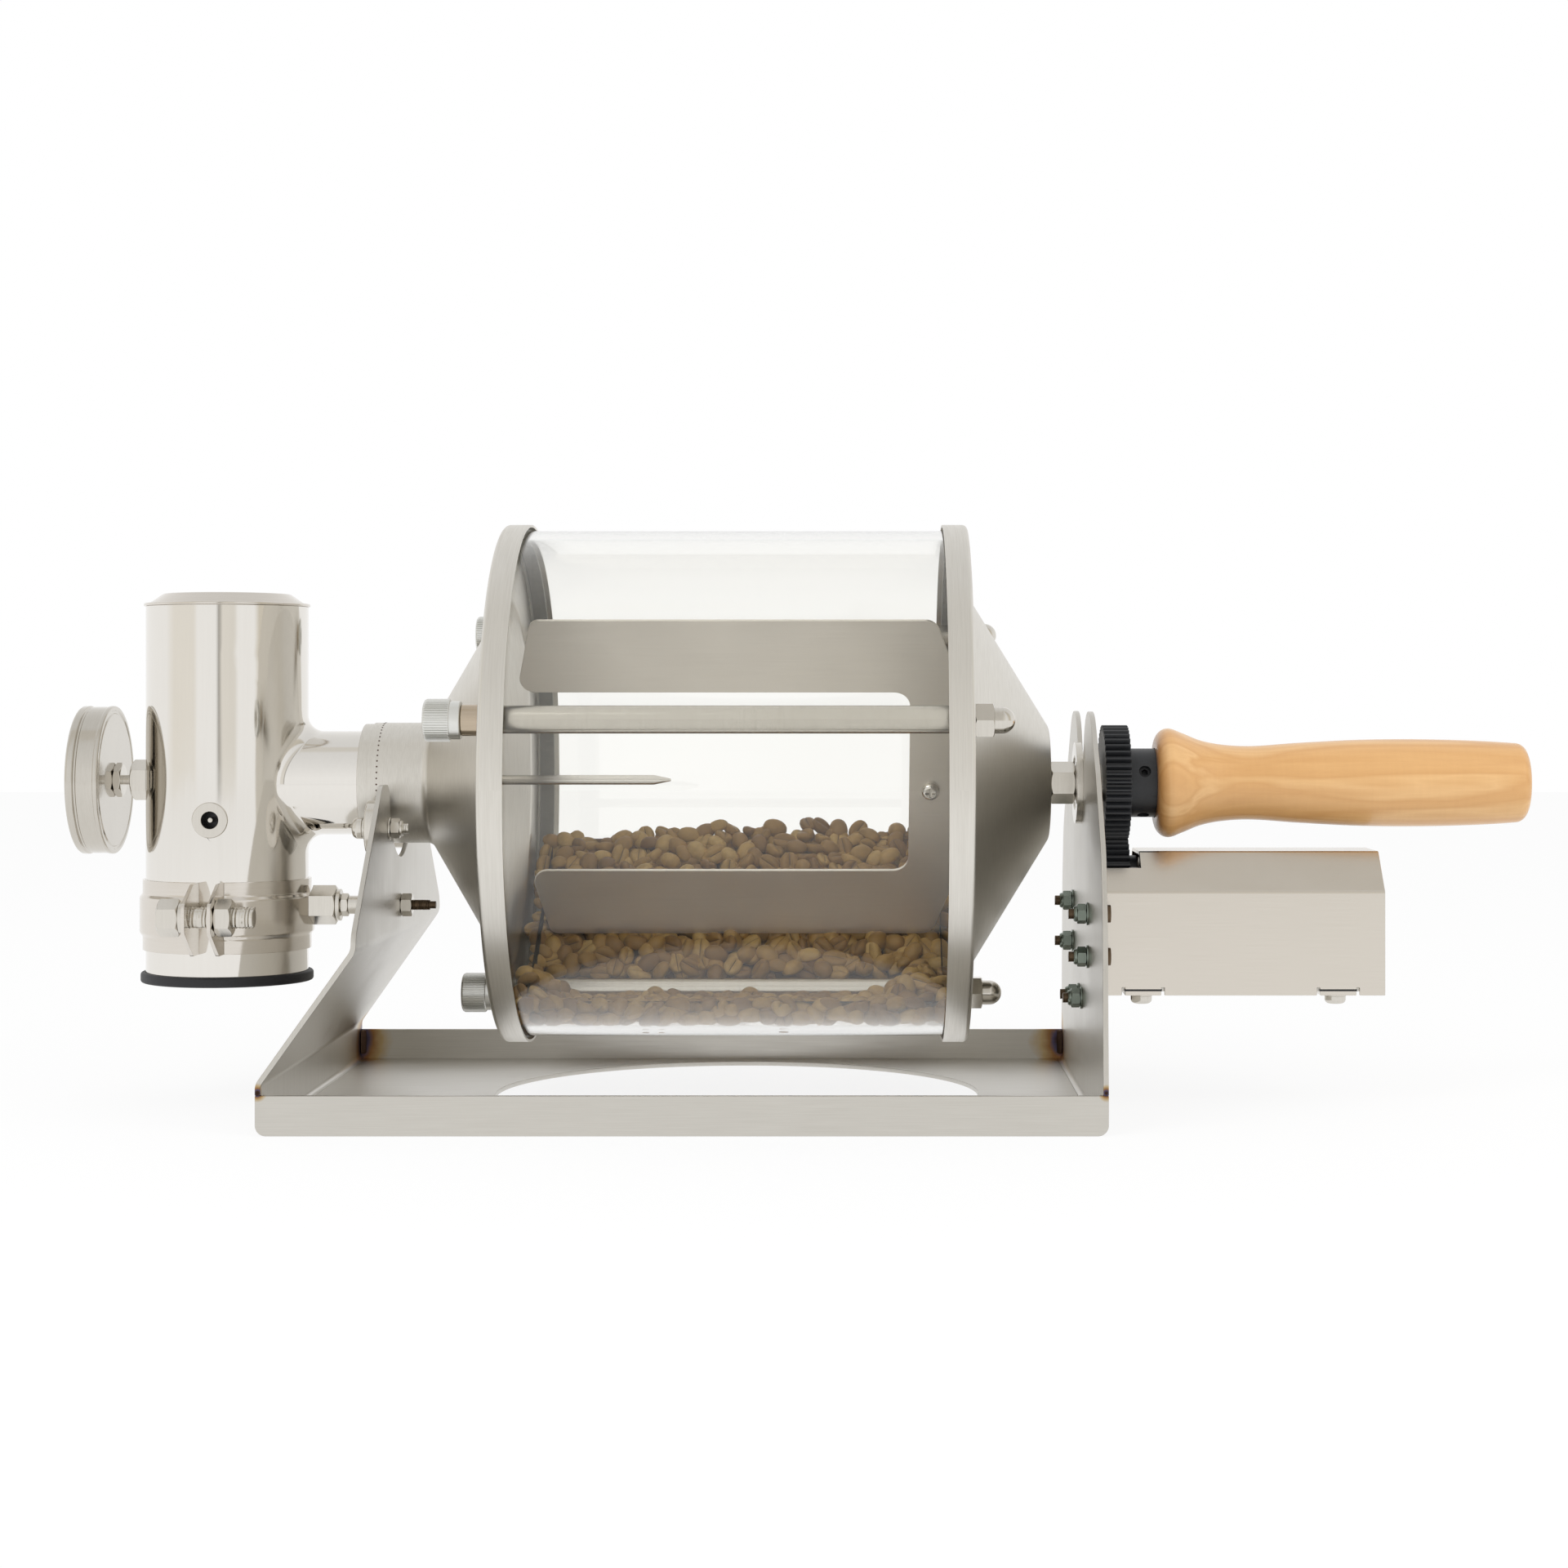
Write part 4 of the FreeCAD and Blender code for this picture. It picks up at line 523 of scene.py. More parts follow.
def instances(points, item, rotation, **inputs):
    return node(points.id_data, "GeometryNodeInstanceOnPoints", Points=points, Instance=shapeOf(item),
                Rotation=rotation, **inputs).outputs[0]


def makePlaceTree():
    # one item on every vertex of the points, turned by the stored spin
    tree, given, out = growTree("placeItems", [("Item", "Object", None)])
    spin = node(tree, "GeometryNodeInputNamedAttribute", (), {"data_type": "FLOAT_VECTOR"}, Name="spin")
    return endTree(instances(given["Geometry"], given["Item"], rotationOf(spin.outputs[0])), given, out)


def makeRingTree():
    # a count of items turned evenly about the X axis
    tree, given, out = growTree("ringOfItems", [
        ("Item", "Object", None), ("Count", "Int", 12), ("First", "Float", 0.0),
        ("Sweep", "Float", 2 * math.pi), ("Centre", "Vector", (0, 0, 0))])
    points = node(tree, "GeometryNodeMeshLine", Count=given["Count"], Offset=(0, 0, 0)).outputs[0]
    share = maths("DIVIDE", tree.nodes.new("GeometryNodeInputIndex").outputs[0], given["Count"])
    turn = plus(times(share, given["Sweep"]), given["First"])
    angles = node(tree, "ShaderNodeCombineXYZ", [turn]).outputs[0]
    placed = instances(points, given["Item"], rotationOf(angles))
    moved = node(tree, "GeometryNodeTransform", Geometry=placed, Translation=given["Centre"])
    return endTree(moved.outputs[0], given, out)


def makeThreadTree():
    # a ridge wound along X, from a spiral and a small four-sided profile
    tree, given, out = growTree("screwThread", [
        ("Start", "Vector", (0, 0, 0)), ("Length", "Float", 0.01), ("Radius", "Float", 0.002),
        ("Pitch", "Float", 0.0007), ("Depth", "Float", 0.0003)])
    length, reach = given["Length"], times(given["Depth"], 0.6)
    middle, windings = minus(given["Radius"], reach), maths("DIVIDE", length, given["Pitch"])
    spiral = node(tree, "GeometryNodeCurveSpiral", Resolution=24, Rotations=windings, Start_Radius=middle,
                  End_Radius=middle, Height=length).outputs[0]
    section = node(tree, "GeometryNodeCurvePrimitiveCircle", Resolution=4, Radius=reach).outputs[0]
    wound = node(tree, "GeometryNodeCurveToMesh", Curve=spiral, Profile_Curve=section, Fill_Caps=True)
    laid = node(tree, "GeometryNodeTransform", Geometry=wound.outputs[0], Translation=given["Start"],
                Rotation=(0, math.radians(90), 0))
    return endTree(laid.outputs[0], given, out)


placeTree, ringTree, threadTree = makePlaceTree(), makeRingTree(), makeThreadTree()
straight = (0.0, 0.0, 0.0)


def runTree(obj, tree, **values):
    # runs a tree on an object and keeps the plain result, using its item up
    modifier = obj.modifiers.new("grown", "NODES")
    modifier.node_group = tree
    for socket in tree.interface.items_tree:
        if socket.name in values:
            modifier[socket.identifier] = values[socket.name]
    baked(obj)
    if "Item" in values:
        bpy.data.objects.remove(values["Item"])
    return obj


def grown(name, tree, points=((straight, straight),), **values):
    # runs a tree on points, given as (place, spin) pairs
    mesh = bpy.data.meshes.new(name)
    mesh.from_pydata([tuple(v * mm for v in place) for place, spin in points], [], [])
    stored = mesh.attributes.new("spin", "FLOAT_VECTOR", "POINT")
    for index, (place, spin) in enumerate(points):
        stored.data[index].vector = spin
    return runTree(inScene(name, mesh), tree, **values)


print("tools ready")


# tray and uprights

standSizes = {"trayRounding": 0.35, "plateRounding": 0.3}
dressed("tray_floor", "trayFloorSheet", sheetLong, standSizes["trayRounding"])
dressed("tray_walls", "trayWallSheets", sheetLong, standSizes["trayRounding"])
dressed("left_upright", "leftUprightSheet", sheetUpright, standSizes["plateRounding"])
dressed("right_upright", "rightUprightSheet", sheetUpright, standSizes["plateRounding"])
print("stand done")


# drum

drum = {"rimRadius": 105.0, "rimFace": 93.2, "rimWidth": 10.0, "sheet": 1.0, "corner": 1.8,
        "leftMouth": 75.0, "rightMouth": 77.0, "neckStart": -123.6, "neckRadius": 24.5, "neckEnd": -147.3,
        "coneEnd": 126.7, "coneEndRadius": 22.7, "shaftRadius": 5.0, "glassRadius": 102.5,
        "glassWall": 3.5, "gasket": 1.2, "gasketLip": 7.0, "liningEnd": -135.0, "lipEnd": -151.4,
        "lipRadius": 24.0}
rim, rimFace, sheet, glass = picked(drum, "rimRadius", "rimFace", "sheet", "glassRadius")
capInner, glassInner = rimFace - sheet, glass - drum["glassWall"]
glassEnd = capInner - drum["gasket"]


def sheetOutline(line):
    # both faces of a spun sheet from its outer line of (along, out, radius)
    inner = []
    for index, (along, out, radius) in enumerate(line):
        here = Vector((along, out))
        normals = []
        for a, b in ((index - 1, index), (index, index + 1)):
            if a >= 0 and b < len(line):
                run = (Vector(line[b][:2]) - Vector(line[a][:2])).normalized()
                normals.append(Vector((-run.y, run.x)))
        offset = (normals[0] + normals[-1]) * (sheet / (1 + normals[0].dot(normals[-1])))
        if 0 < index < len(line) - 1:
            radius = max(radius - math.copysign(sheet, normals[0].cross(normals[-1])), 0.3)
        inner.append((here.x + offset.x, here.y + offset.y, radius))
    return line + inner[::-1]


leftLine = [(-rimFace + drum["rimWidth"], rim, 0), (-rimFace, rim, drum["corner"]),
            (-rimFace, drum["leftMouth"], 3.0), (drum["neckStart"], drum["neckRadius"], 4.0),
            (drum["neckEnd"], drum["neckRadius"], 0)]
rightLine = [(drum["coneEnd"], drum["shaftRadius"], 0), (drum["coneEnd"], drum["coneEndRadius"], 5.0),
             (rimFace, drum["rightMouth"], 3.0), (rimFace, rim, drum["corner"]),
             (rimFace - drum["rimWidth"], rim, 0)]
finishPiece(spun("leftCapShell", sheetOutline(leftLine), arcs=6), capSteel, ["left_cap", "left_neck"])
finishPiece(spun("rightCapShell", sheetOutline(rightLine), arcs=6), capSteel, ["right_cap"])

liningOuter = drum["neckRadius"] - sheet
liningInner = liningOuter - 1
lining = [(drum["liningEnd"], liningInner, 0.2), (drum["liningEnd"], liningOuter, 0.2),
          (drum["neckEnd"], liningOuter, 0), (drum["neckEnd"], drum["lipRadius"], 0.15),
          (drum["lipEnd"], drum["lipRadius"], 0.3), (drum["lipEnd"], liningInner, 0.3)]
finishPiece(spun("neckLiningRing", lining, arcs=3), capSteel, ["neck_lining"])

glassLoop = [(-glassEnd, glassInner, 0.5), (-glassEnd, glass, 0.5), (glassEnd, glass, 0.5),
             (glassEnd, glassInner, 0.5)]
finishPiece(spun("drumGlassTube", glassLoop, steps=256, arcs=3), drumGlass, ["glass_cylinder"])

lipEnd = capInner - drum["gasketLip"]
gasketLoop = [(capInner, glassInner - 1, 0.3), (capInner, rim - sheet, 0.2), (lipEnd, rim - sheet, 0.3),
              (lipEnd, glass, 0.3), (glassEnd, glass, 0), (glassEnd, glassInner - 1, 0.3)]
gasketRings = [spun("gasket", [(side * along, out, radius) for along, out, radius in gasketLoop], arcs=3)
               for side in (-1, 1)]
finishPiece(putTogether("drumGasketRings", gasketRings), siliconePale, ["drum_gaskets"])
print("drum shells done")


# tie rods

ties = {"circle": 90.0, "firstAngle": 16.8, "tubeRadius": 5.25, "boreRadius": 4.2, "spacerRadius": 6.0,
        "spacerLength": 7.5, "collarRadius": 7.25, "collarLength": 4.0, "knobRadius": 8.1,
        "knobLength": 10.1, "knobBore": 4.0, "ridges": 48, "ridgeDepth": 0.45, "ridgeFoot": 0.36,
        "ridgeTop": 0.13, "acornFlats": 12.5, "acornBore": 4.0, "acornHex": 7.5, "acornDome": 5.0,
        "acornLength": 15.5, "domeStart": 2.0}
tieAngles = [math.radians(ties["firstAngle"] + 120 * index) for index in range(3)]
tiePlaces = [(-ties["circle"] * math.cos(angle), drumHeight + ties["circle"] * math.sin(angle))
             for angle in tieAngles]


def atTies(name, cadNode, item, along, material, angle=32):
    points = [((along, y, z), straight) for y, z in tiePlaces]
    finishPiece(grown(name, placeTree, points, Item=item, Material=material), None, [cadNode], angle=angle)


tube = sleeve(-capInner, capInner, ties["boreRadius"], ties["tubeRadius"], 0.3)
atTies("tieTubeRods", "tie_tubes", tube, 0, rodSteel)
spacer = sleeve(0, -ties["spacerLength"], ties["boreRadius"], ties["spacerRadius"], 0.5)
atTies("knobSpacerRings", "knob_spacers", spacer, -rimFace, nickelTone)


def makeKnob():
    # a smooth collar and a grip with pointed ridges
    top, foot, bore, collar = picked(ties, "knobRadius", "ridgeFoot", "knobBore", "collarRadius")
    valley = top - ties["ridgeDepth"]
    start = -ties["collarLength"]
    end = start - ties["knobLength"]
    core = spun("core", [(0, bore, 0), (0, collar, 0.6), (start, collar, 0), (start, valley, 0.3),
                         (end, valley, 1.0), (end, bore, 0)], (0, 0), steps=96, arcs=3)
    ridge = lofted("ridge", [
        [(x, -foot, valley - 0.3), (x, -ties["ridgeTop"], top - drop), (x, ties["ridgeTop"], top - drop),
         (x, foot, valley - 0.3)]
        for x, drop in ((start - 0.3, 0.2), (start - 0.8, 0), (end + 1.2, 0), (end + 0.4, 0.45))])
    ridges = grown("ridges", ringTree, Item=ridge, Count=ties["ridges"], Material=knobMetal)
    return putTogether("knob", [ridges, core])


atTies("knurledKnobs", "tie_knobs", makeKnob(), -rimFace - ties["spacerLength"], knobMetal, 40)


def makeNut(flats, bore, height, chamfer=0.5, collar=0.0, steps=72):
    # hexagonal nut along +X from its seat, its corners chamfered by a cone
    verts = []
    for step in range(steps):
        turn = 2 * math.pi * step / steps
        within = (turn + math.pi / 6) % (math.pi / 3) - math.pi / 6
        out = min(flats / 2 / math.cos(within), flats / 2 * 1.15)
        drop = max(out - flats * 0.485, 0) * chamfer
        rows = [(0.0, bore), (0.0, flats * 0.47), (drop + 0.05, out), (height - drop - 0.05, out)]
        if collar:
            rows += [(height - 0.02, flats * 0.47), (height, flats * 0.45),
                     (height + collar * 0.55, flats * 0.44), (height + collar, flats * 0.38),
                     (height + collar, bore)]
        else:
            rows += [(height, flats * 0.47), (height, bore)]
        verts += [(along, radius * math.sin(turn), radius * math.cos(turn)) for along, radius in rows]
    return toObject("nut", verts, quads(steps, len(rows), ring=True))


dome, domeStart, tip = picked(ties, "acornDome", "domeStart", "acornLength")
domeLoop = [(domeStart, 0.01), (domeStart, dome)]
domeLoop += [(tip - dome * (1 - math.sin(turn)), dome * math.cos(turn)) for turn in quarterTurn(12)]
acorn = putTogether("acorn", [makeNut(*picked(ties, "acornFlats", "acornBore", "acornHex")),
                              spun("acornDome", domeLoop, (0, 0), steps=48)])
atTies("acornCapNuts", "acorn_nuts", acorn, rimFace, brightSteel)
print("tie rods done")


# paddles and their screws

paddleSizes = {"plateRounding": 0.3, "screwRounding": 0.12}
dressed("upper_paddle", "upperPaddlePlate", paddleSteel, paddleSizes["plateRounding"])
dressed("lower_paddle", "lowerPaddlePlate", paddleSteel, paddleSizes["plateRounding"])
dressed("paddle_screws", "paddleScrewSet", brightSteel, paddleSizes["screwRounding"])
print("paddles done")


# handle

handle = {"start": 170.0, "face": 16.0, "bead": 22.2, "beadAlong": 5.5, "end": 321.4, "endRadius": 16.2,
          "endRound": 4.5, "socketRadius": 14.0, "socketDepth": 2.0}
# the grip behind the bead, as (distance from the bead's top, radius)
gripKeys = [(5.5, 20.4), (13, 17.4), (22, 15.6), (34, 15.0), (53, 16.3), (80, 17.6), (112, 17.6)]


def handleProfile():
    # half outline from the front face round the bead and along the grip
    start, face, end, endRound = picked(handle, "start", "face", "end", "endRound")
    bead, floor = start + handle["beadAlong"], start + handle["socketDepth"]
    keys = [(bead, handle["bead"]), *[(bead + along, radius) for along, radius in gripKeys],
            (end - endRound, handle["endRadius"])]
    slopes = [(after[1] - before[1]) / (after[0] - before[0]) for before, after in zip(keys, keys[2:])]
    slopes = [0.0, *slopes, -0.08]
    points = [(floor, 0.01), (floor, handle["socketRadius"] + 0.1), (start, handle["socketRadius"] + 0.3),
              (start, face - 0.6)]
    points += [(bead - handle["beadAlong"] * math.cos(turn), face + (handle["bead"] - face) * math.sin(turn))
               for turn in quarterTurn(12)[1:-1]]
    for (x0, r0), (x1, r1), m0, m1 in zip(keys, keys[1:], slopes, slopes[1:]):
        span = x1 - x0
        for t in between(0, 1, 10)[:-1]:
            ends = (2 * t ** 3 - 3 * t ** 2 + 1) * r0, (-2 * t ** 3 + 3 * t ** 2) * r1
            bends = (t ** 3 - 2 * t ** 2 + t) * span * m0, (t ** 3 - t ** 2) * span * m1
            points.append((x0 + span * t, sum(ends + bends)))
    points += [(end - endRound * (1 - math.sin(turn)), handle["endRadius"] - endRound * (1 - math.cos(turn)))
               for turn in quarterTurn(10)]
    return points + [(end, 0.01)]


finishPiece(spun("woodenGrip", handleProfile(), steps=128), handleWood, ["handle"], angle=50)
print("handle done")


# chaff tube

tee = {"x": -208.0, "radius": 32.5, "wall": 1.5, "top": 199.6, "bottom": 49.3, "fillet": 7.0, "branch": 21.1,
       "branchEnd": -125.0, "patchTurn": 80.0, "patchRise": 52.0, "patchSteps": 32, "backSteps": 44,
       "holeRadius": 5.55, "holeFront": -32.0, "holeHeight": 113.8, "holeDepth": 9.0}


def makeTeeSkin():
    # outer skin: a cylinder with a patch round the branch, a rolled fillet and the branch
    verts, faces = [], []
    radius, fillet, branch, steps = picked(tee, "radius", "fillet", "branch", "patchSteps")
    halfTurn, halfRise = math.radians(tee["patchTurn"]), tee["patchRise"]
    low, high = drumHeight - halfRise, drumHeight + halfRise

    def skin(turn, height):
        return (tee["x"] + radius * math.cos(turn), radius * math.sin(turn), height)

    def grid(rows):
        faces.extend(quads(len(rows), len(rows[0]), loop=False, base=len(verts)))
        for row in rows:
            verts.extend(row)

    shares = between(-1, 1, steps)[:-1]
    border = [(halfTurn, drumHeight + share * halfRise) for share in shares]
    border += [(-share * halfTurn, high) for share in shares]
    border += [(-halfTurn, drumHeight - share * halfRise) for share in shares]
    border += [(share * halfTurn, low) for share in shares]
    patch = []
    for turn, height in border + border[:1]:
        # the ray from the branch's middle to this border point fixes the place on the branch
        angle = math.atan2(height - drumHeight, radius * math.sin(turn))
        sideways, rise = math.cos(angle), math.sin(angle)
        y, z = (branch + fillet) * sideways, (branch + fillet) * rise
        x = math.sqrt((radius + fillet) ** 2 - y * y)
        onMain = Vector((x, y, 0)).normalized()
        contact = math.atan2(onMain.y, onMain.x)
        row = [skin(*place) for place in zip(between(turn, contact, 8), between(height, drumHeight + z, 8))]
        first, last = -onMain, Vector((0, -sideways, -rise))
        whole = first.angle(last)
        for t in between(0, 1, 10)[1:]:
            aim = (first * math.sin((1 - t) * whole) + last * math.sin(t * whole)) / math.sin(whole)
            point = Vector((x, y, z)) + aim * fillet
            row.append((tee["x"] + point.x, point.y, drumHeight + point.z))
        row += [(along, branch * sideways, drumHeight + branch * rise)
                for along in between(tee["x"] + x, tee["branchEnd"], 4)[1:]]
        patch.append(row)
    grid(patch)
    below, above = between(tee["bottom"], low, 3), between(high, tee["top"], 3)
    for heights in (below, above):
        grid([[skin(turn, height) for turn in between(-halfTurn, halfTurn, steps)] for height in heights])
    backTurns = between(halfTurn, 2 * math.pi - halfTurn, tee["backSteps"])
    grid([[skin(turn, height) for turn in backTurns]
          for height in below[:-1] + between(low, high, steps)[:-1] + above])
    return toObject("teeTubeShell", verts, faces)


teeShell = makeTeeSkin()
outward = sum(1 for face in teeShell.data.polygons
              if face.normal.x * (face.center.x - tee["x"] * mm) + face.normal.y * face.center.y > 0)
if outward * 2 < len(teeShell.data.polygons):
    teeShell.data.flip_normals()
wall = teeShell.modifiers.new("wall", "SOLIDIFY")
wall.thickness, wall.offset = tee["wall"] * mm, -1
depth, hole = tee["holeDepth"], tee["holeRadius"]
socketHole = spun("socketHole", [(-depth, 0), (-depth, hole), (depth, hole), (depth, 0)], (0, 0), steps=72)
socketHole.data.transform(Matrix(((0, 0, 1, tee["x"] * mm), (1, 0, 0, tee["holeFront"] * mm),
                                  (0, 1, 0, tee["holeHeight"] * mm), (0, 0, 0, 1))))
cut = baked(teeShell).modifiers.new("socketHole", "BOOLEAN")
cut.operation, cut.object, cut.solver = "DIFFERENCE", socketHole, "EXACT"
finishPiece(rounded(baked(teeShell), 0.25, 60), tubeSteel, ["tee_tube"], angle=45)
bpy.data.objects.remove(socketHole)

lid = {"radius": 33.25, "sheet": 1.2, "domeBase": 31.0, "domeRadius": 25.5, "domeHeight": 3.9, "skirt": 11.6,
       "plug": 30.6}
teeTop, plug, plugInner = tee["top"], lid["plug"], lid["plug"] - lid["sheet"]
lidTop, skirtEnd = teeTop + lid["sheet"] + lid["domeHeight"], teeTop - lid["skirt"]
lidLoop = [
    (lidTop - lid["sheet"], 0.01, 0), (lidTop - lid["sheet"], lid["domeRadius"] - lid["sheet"], 0.8),
    (teeTop, plugInner, 0.5), (skirtEnd, plugInner, 0.2), (skirtEnd, plug, 0.3), (teeTop, plug, 0.2),
    (teeTop, lid["radius"], 0.3), (teeTop + lid["sheet"], lid["radius"], 0.6),
    (teeTop + lid["sheet"], lid["domeBase"], 1.0), (lidTop, lid["domeRadius"], 2.0), (lidTop, 0.01, 0)]
finishPiece(spun("tubeLidCap", lidLoop, (tee["x"], 0), "Z", arcs=5), bandSteel, ["tube_lid"])

ringSizes = {"bottom": 47.3, "top": 51.4, "radius": 34.5, "bore": 29.5}
ringLow, ringHigh, ringOuter, ringBore = picked(ringSizes, "bottom", "top", "radius", "bore")
ringLoop = [(ringLow, ringBore, 0.4), (ringLow, ringOuter, 1.0), (ringHigh, ringOuter, 1.1),
            (ringHigh, tee["radius"], 0.3), (tee["bottom"], tee["radius"], 0),
            (tee["bottom"], ringBore, 0.3)]
finishPiece(spun("rubberFootRing", ringLoop, (tee["x"], 0), "Z", arcs=5), rubberBlack, ["rubber_ring"])
dressed("band_clamp", "bandClampStrip", bandSteel, 0.2)
print("chaff tube done")


# beans

beans = {"length": 10.4, "width": 8.0, "thickness": 6.2, "seed": 7, "topSpacing": 5.7, "sideSpacing": 6.4,
         "topTilt": 0.8, "sideTilt": 0.4, "clearance": 3.2, "reachGap": 4.2, "endGap": 4.0, "front": -24.0,
         "rear": 89.0, "lengthSteps": 60, "depthSteps": 32, "layers": (0.0, 3.4), "coreInset": 5.6}
# the heap's surface from front to rear: low before the bottom rod, steep behind it
heapLine = [(-26, 33.0), (-12, 36.5), (12, 37.5), (17, 39.0), (25, 45.0), (40, 62.5), (62, 83.0),
            (90, 103.0)]
# a bean's outline across its length, with the crease in the middle of the flat side
beanSection = [(1, 0), (0.92, 0.42), (0.7, 0.74), (0.38, 0.94), (0, 1), (-0.38, 0.94), (-0.7, 0.74),
               (-0.92, 0.42), (-1, 0), (-0.9, -0.28), (-0.6, -0.42), (-0.13, -0.42), (0, -0.16),
               (0.13, -0.42), (0.6, -0.42), (0.9, -0.28)]


def oneBean():
    # a plump oval, flatter on one side and creased along it
    verts, rows = [], 8
    for row, lift in enumerate(between(0, math.pi, rows)):
        plump = math.sin(lift) ** 0.85 if 0 < row < rows else 0.0
        verts += [(beans["length"] / 2 * math.cos(lift), beans["width"] / 2 * out * plump,
                   beans["thickness"] * 0.62 * up * plump) for out, up in beanSection]
    made = toObject("bean", verts, quads(rows + 1, len(beanSection)))
    # marks the crease's middle, where the bean material paints shade
    creaseShade = [float(abs(v.co.y) < 1e-7 and v.co.z < 0) for v in made.data.vertices]
    made.data.attributes.new("beanCreaseShade", "FLOAT", "POINT").data.foreach_set("value", creaseShade)
    return made


def makeBeanTree():
    # beans packed over the pile's skin, each lying roughly flat, kept clear of an obstacle
    tree, given, out = growTree("beanPile", [
        ("Item", "Object", None), ("Obstacle", "Object", None), ("Spacing", "Float", 0.006),
        ("Clearance", "Float", 0.004), ("Tilt", "Float", 0.6), ("Seed", "Int", 1)])

    def chance(low, high, offset):
        return node(tree, "FunctionNodeRandomValue", (None, None, low, high), {"data_type": "FLOAT"},
                    Seed=plus(given["Seed"], offset)).outputs[1]

    spread = node(tree, "GeometryNodeDistributePointsOnFaces", (), {"distribute_method": "POISSON"},
                  Mesh=given["Geometry"], Distance_Min=given["Spacing"], Density_Max=90000,
                  Seed=given["Seed"])
    near = node(tree, "GeometryNodeProximity", [shapeOf(given["Obstacle"])]).outputs["Distance"]
    tooNear = node(tree, "FunctionNodeCompare", [near, given["Clearance"]], {"operation": "LESS_THAN"})
    kept = node(tree, "GeometryNodeDeleteGeometry", Geometry=spread.outputs["Points"],
                Selection=tooNear.outputs[0]).outputs[0]
    placed = instances(kept, given["Item"], spread.outputs["Rotation"], Scale=chance(0.86, 1.1, 3))
    high = given["Tilt"]
    low = times(high, -1.0)
    flip = times(maths("GREATER_THAN", chance(0.0, 1.0, 23), 0.5), math.pi)
    angles = node(tree, "ShaderNodeCombineXYZ", [
        plus(chance(low, high, 5), flip), chance(low, high, 8), chance(0.0, 6.283, 11)]).outputs[0]
    turned = node(tree, "GeometryNodeRotateInstances", Instances=placed, Rotation=rotationOf(angles))
    stored = node(tree, "GeometryNodeStoreNamedAttribute", (), {"data_type": "FLOAT", "domain": "INSTANCE"},
                  Name="beanTint", Geometry=turned.outputs[0], Value=chance(0.0, 1.0, 17))
    return endTree(stored.outputs[0], given, out)


def heapHeight(x, y):
    # the heap's line at y, raised towards both ends and uneven along its length
    for (y0, z0), (y1, z1) in zip(heapLine, heapLine[1:]):
        if y <= y1 or y1 == heapLine[-1][0]:
            height = z0 + (z1 - z0) * (y - y0) / (y1 - y0)
            break
    ends = min(1.0, max(0.0, (abs(x + 6) - 58) / 24))
    ends = ends * ends * (3 - 2 * ends)
    front = min(1.0, max(0.0, (44 - y) / 34)) * min(1.0, max(0.0, (y + 26) / 22))
    crown = 4.5 * math.exp(-((x - 18) / 45) ** 2) * max(0.0, (y - 45) / 45)
    waves = 0.9 * math.sin(x * 0.13 + y * 0.05), 0.6 * math.sin(x * 0.31 - y * 0.09)
    return height + 12 * ends * front + crown + waves[0] + waves[1]


def pileSkins(inset):
    # the heap's open surface, and the part that lies against the glass
    reach = glassInner - beans["reachGap"] - inset
    ends = glassEnd - beans["endGap"] - inset * 0.6
    low = math.asin(beans["front"] / glassInner)
    high = math.asin(beans["rear"] / glassInner * 1.06)
    depths = between(beans["front"], beans["rear"], beans["depthSteps"])
    turns = between(low, high, beans["depthSteps"])
    top, side = [], []
    for x in between(-ends, ends, beans["lengthSteps"]):
        points = [Vector((y, heapHeight(x, y) - inset * 1.25 - drumHeight)) for y in depths]
        points = [point.normalized() * reach if point.length > reach else point for point in points]
        top.append([(x, point.x, drumHeight + point.y) for point in points])
        side.append([(x, reach * math.sin(turn), drumHeight - reach * math.cos(turn)) for turn in turns])
    return top, side


def makeBeans():
    beanTree = makeBeanTree()
    rodRadius, seed = ties["tubeRadius"], beans["seed"]
    rodLoop = [(-capInner, 0.01), (-capInner, rodRadius), (capInner, rodRadius), (capInner, 0.01)]
    rods = [spun("rod", rodLoop, place, steps=24) for place in tiePlaces]
    obstacle = putTogether("obstacle", rods + [copyOf("lower_paddle", "blade")])
    for depth in beans["layers"]:
        for side, rows in zip(("top", "side"), pileSkins(depth)):
            points = [point for row in rows for point in row]
            faces = quads(len(rows), len(rows[0]), loop=False)
            skin = toObject(f"beanHeap{side.capitalize()}{int(depth)}", points, faces)
            upward = sum(face.normal.z for face in skin.data.polygons) > 0
            if upward != (side == "top"):
                skin.data.flip_normals()
            runTree(skin, beanTree, Item=oneBean(), Obstacle=obstacle, Material=greenCoffee, Seed=seed,
                    Clearance=beans["clearance"] * mm, Spacing=beans[side + "Spacing"] * mm,
                    Tilt=beans[side + "Tilt"])
            skin.data.polygons.foreach_set("use_smooth", [True] * len(skin.data.polygons))
            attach(skin, "stand")
            seed += 1
    bpy.data.objects.remove(obstacle)
    # the closed mass under the beans, dark brown as painted shade between them
    core = lofted("beanHeapCore", [top + side[::-1] for top, side in zip(*pileSkins(beans["coreInset"]))])
    finishPiece(core, pileShade, [], body="stand", angle=60)


makeBeans()
print("beans done")


# pieces that keep their solid's shape, with softened edges

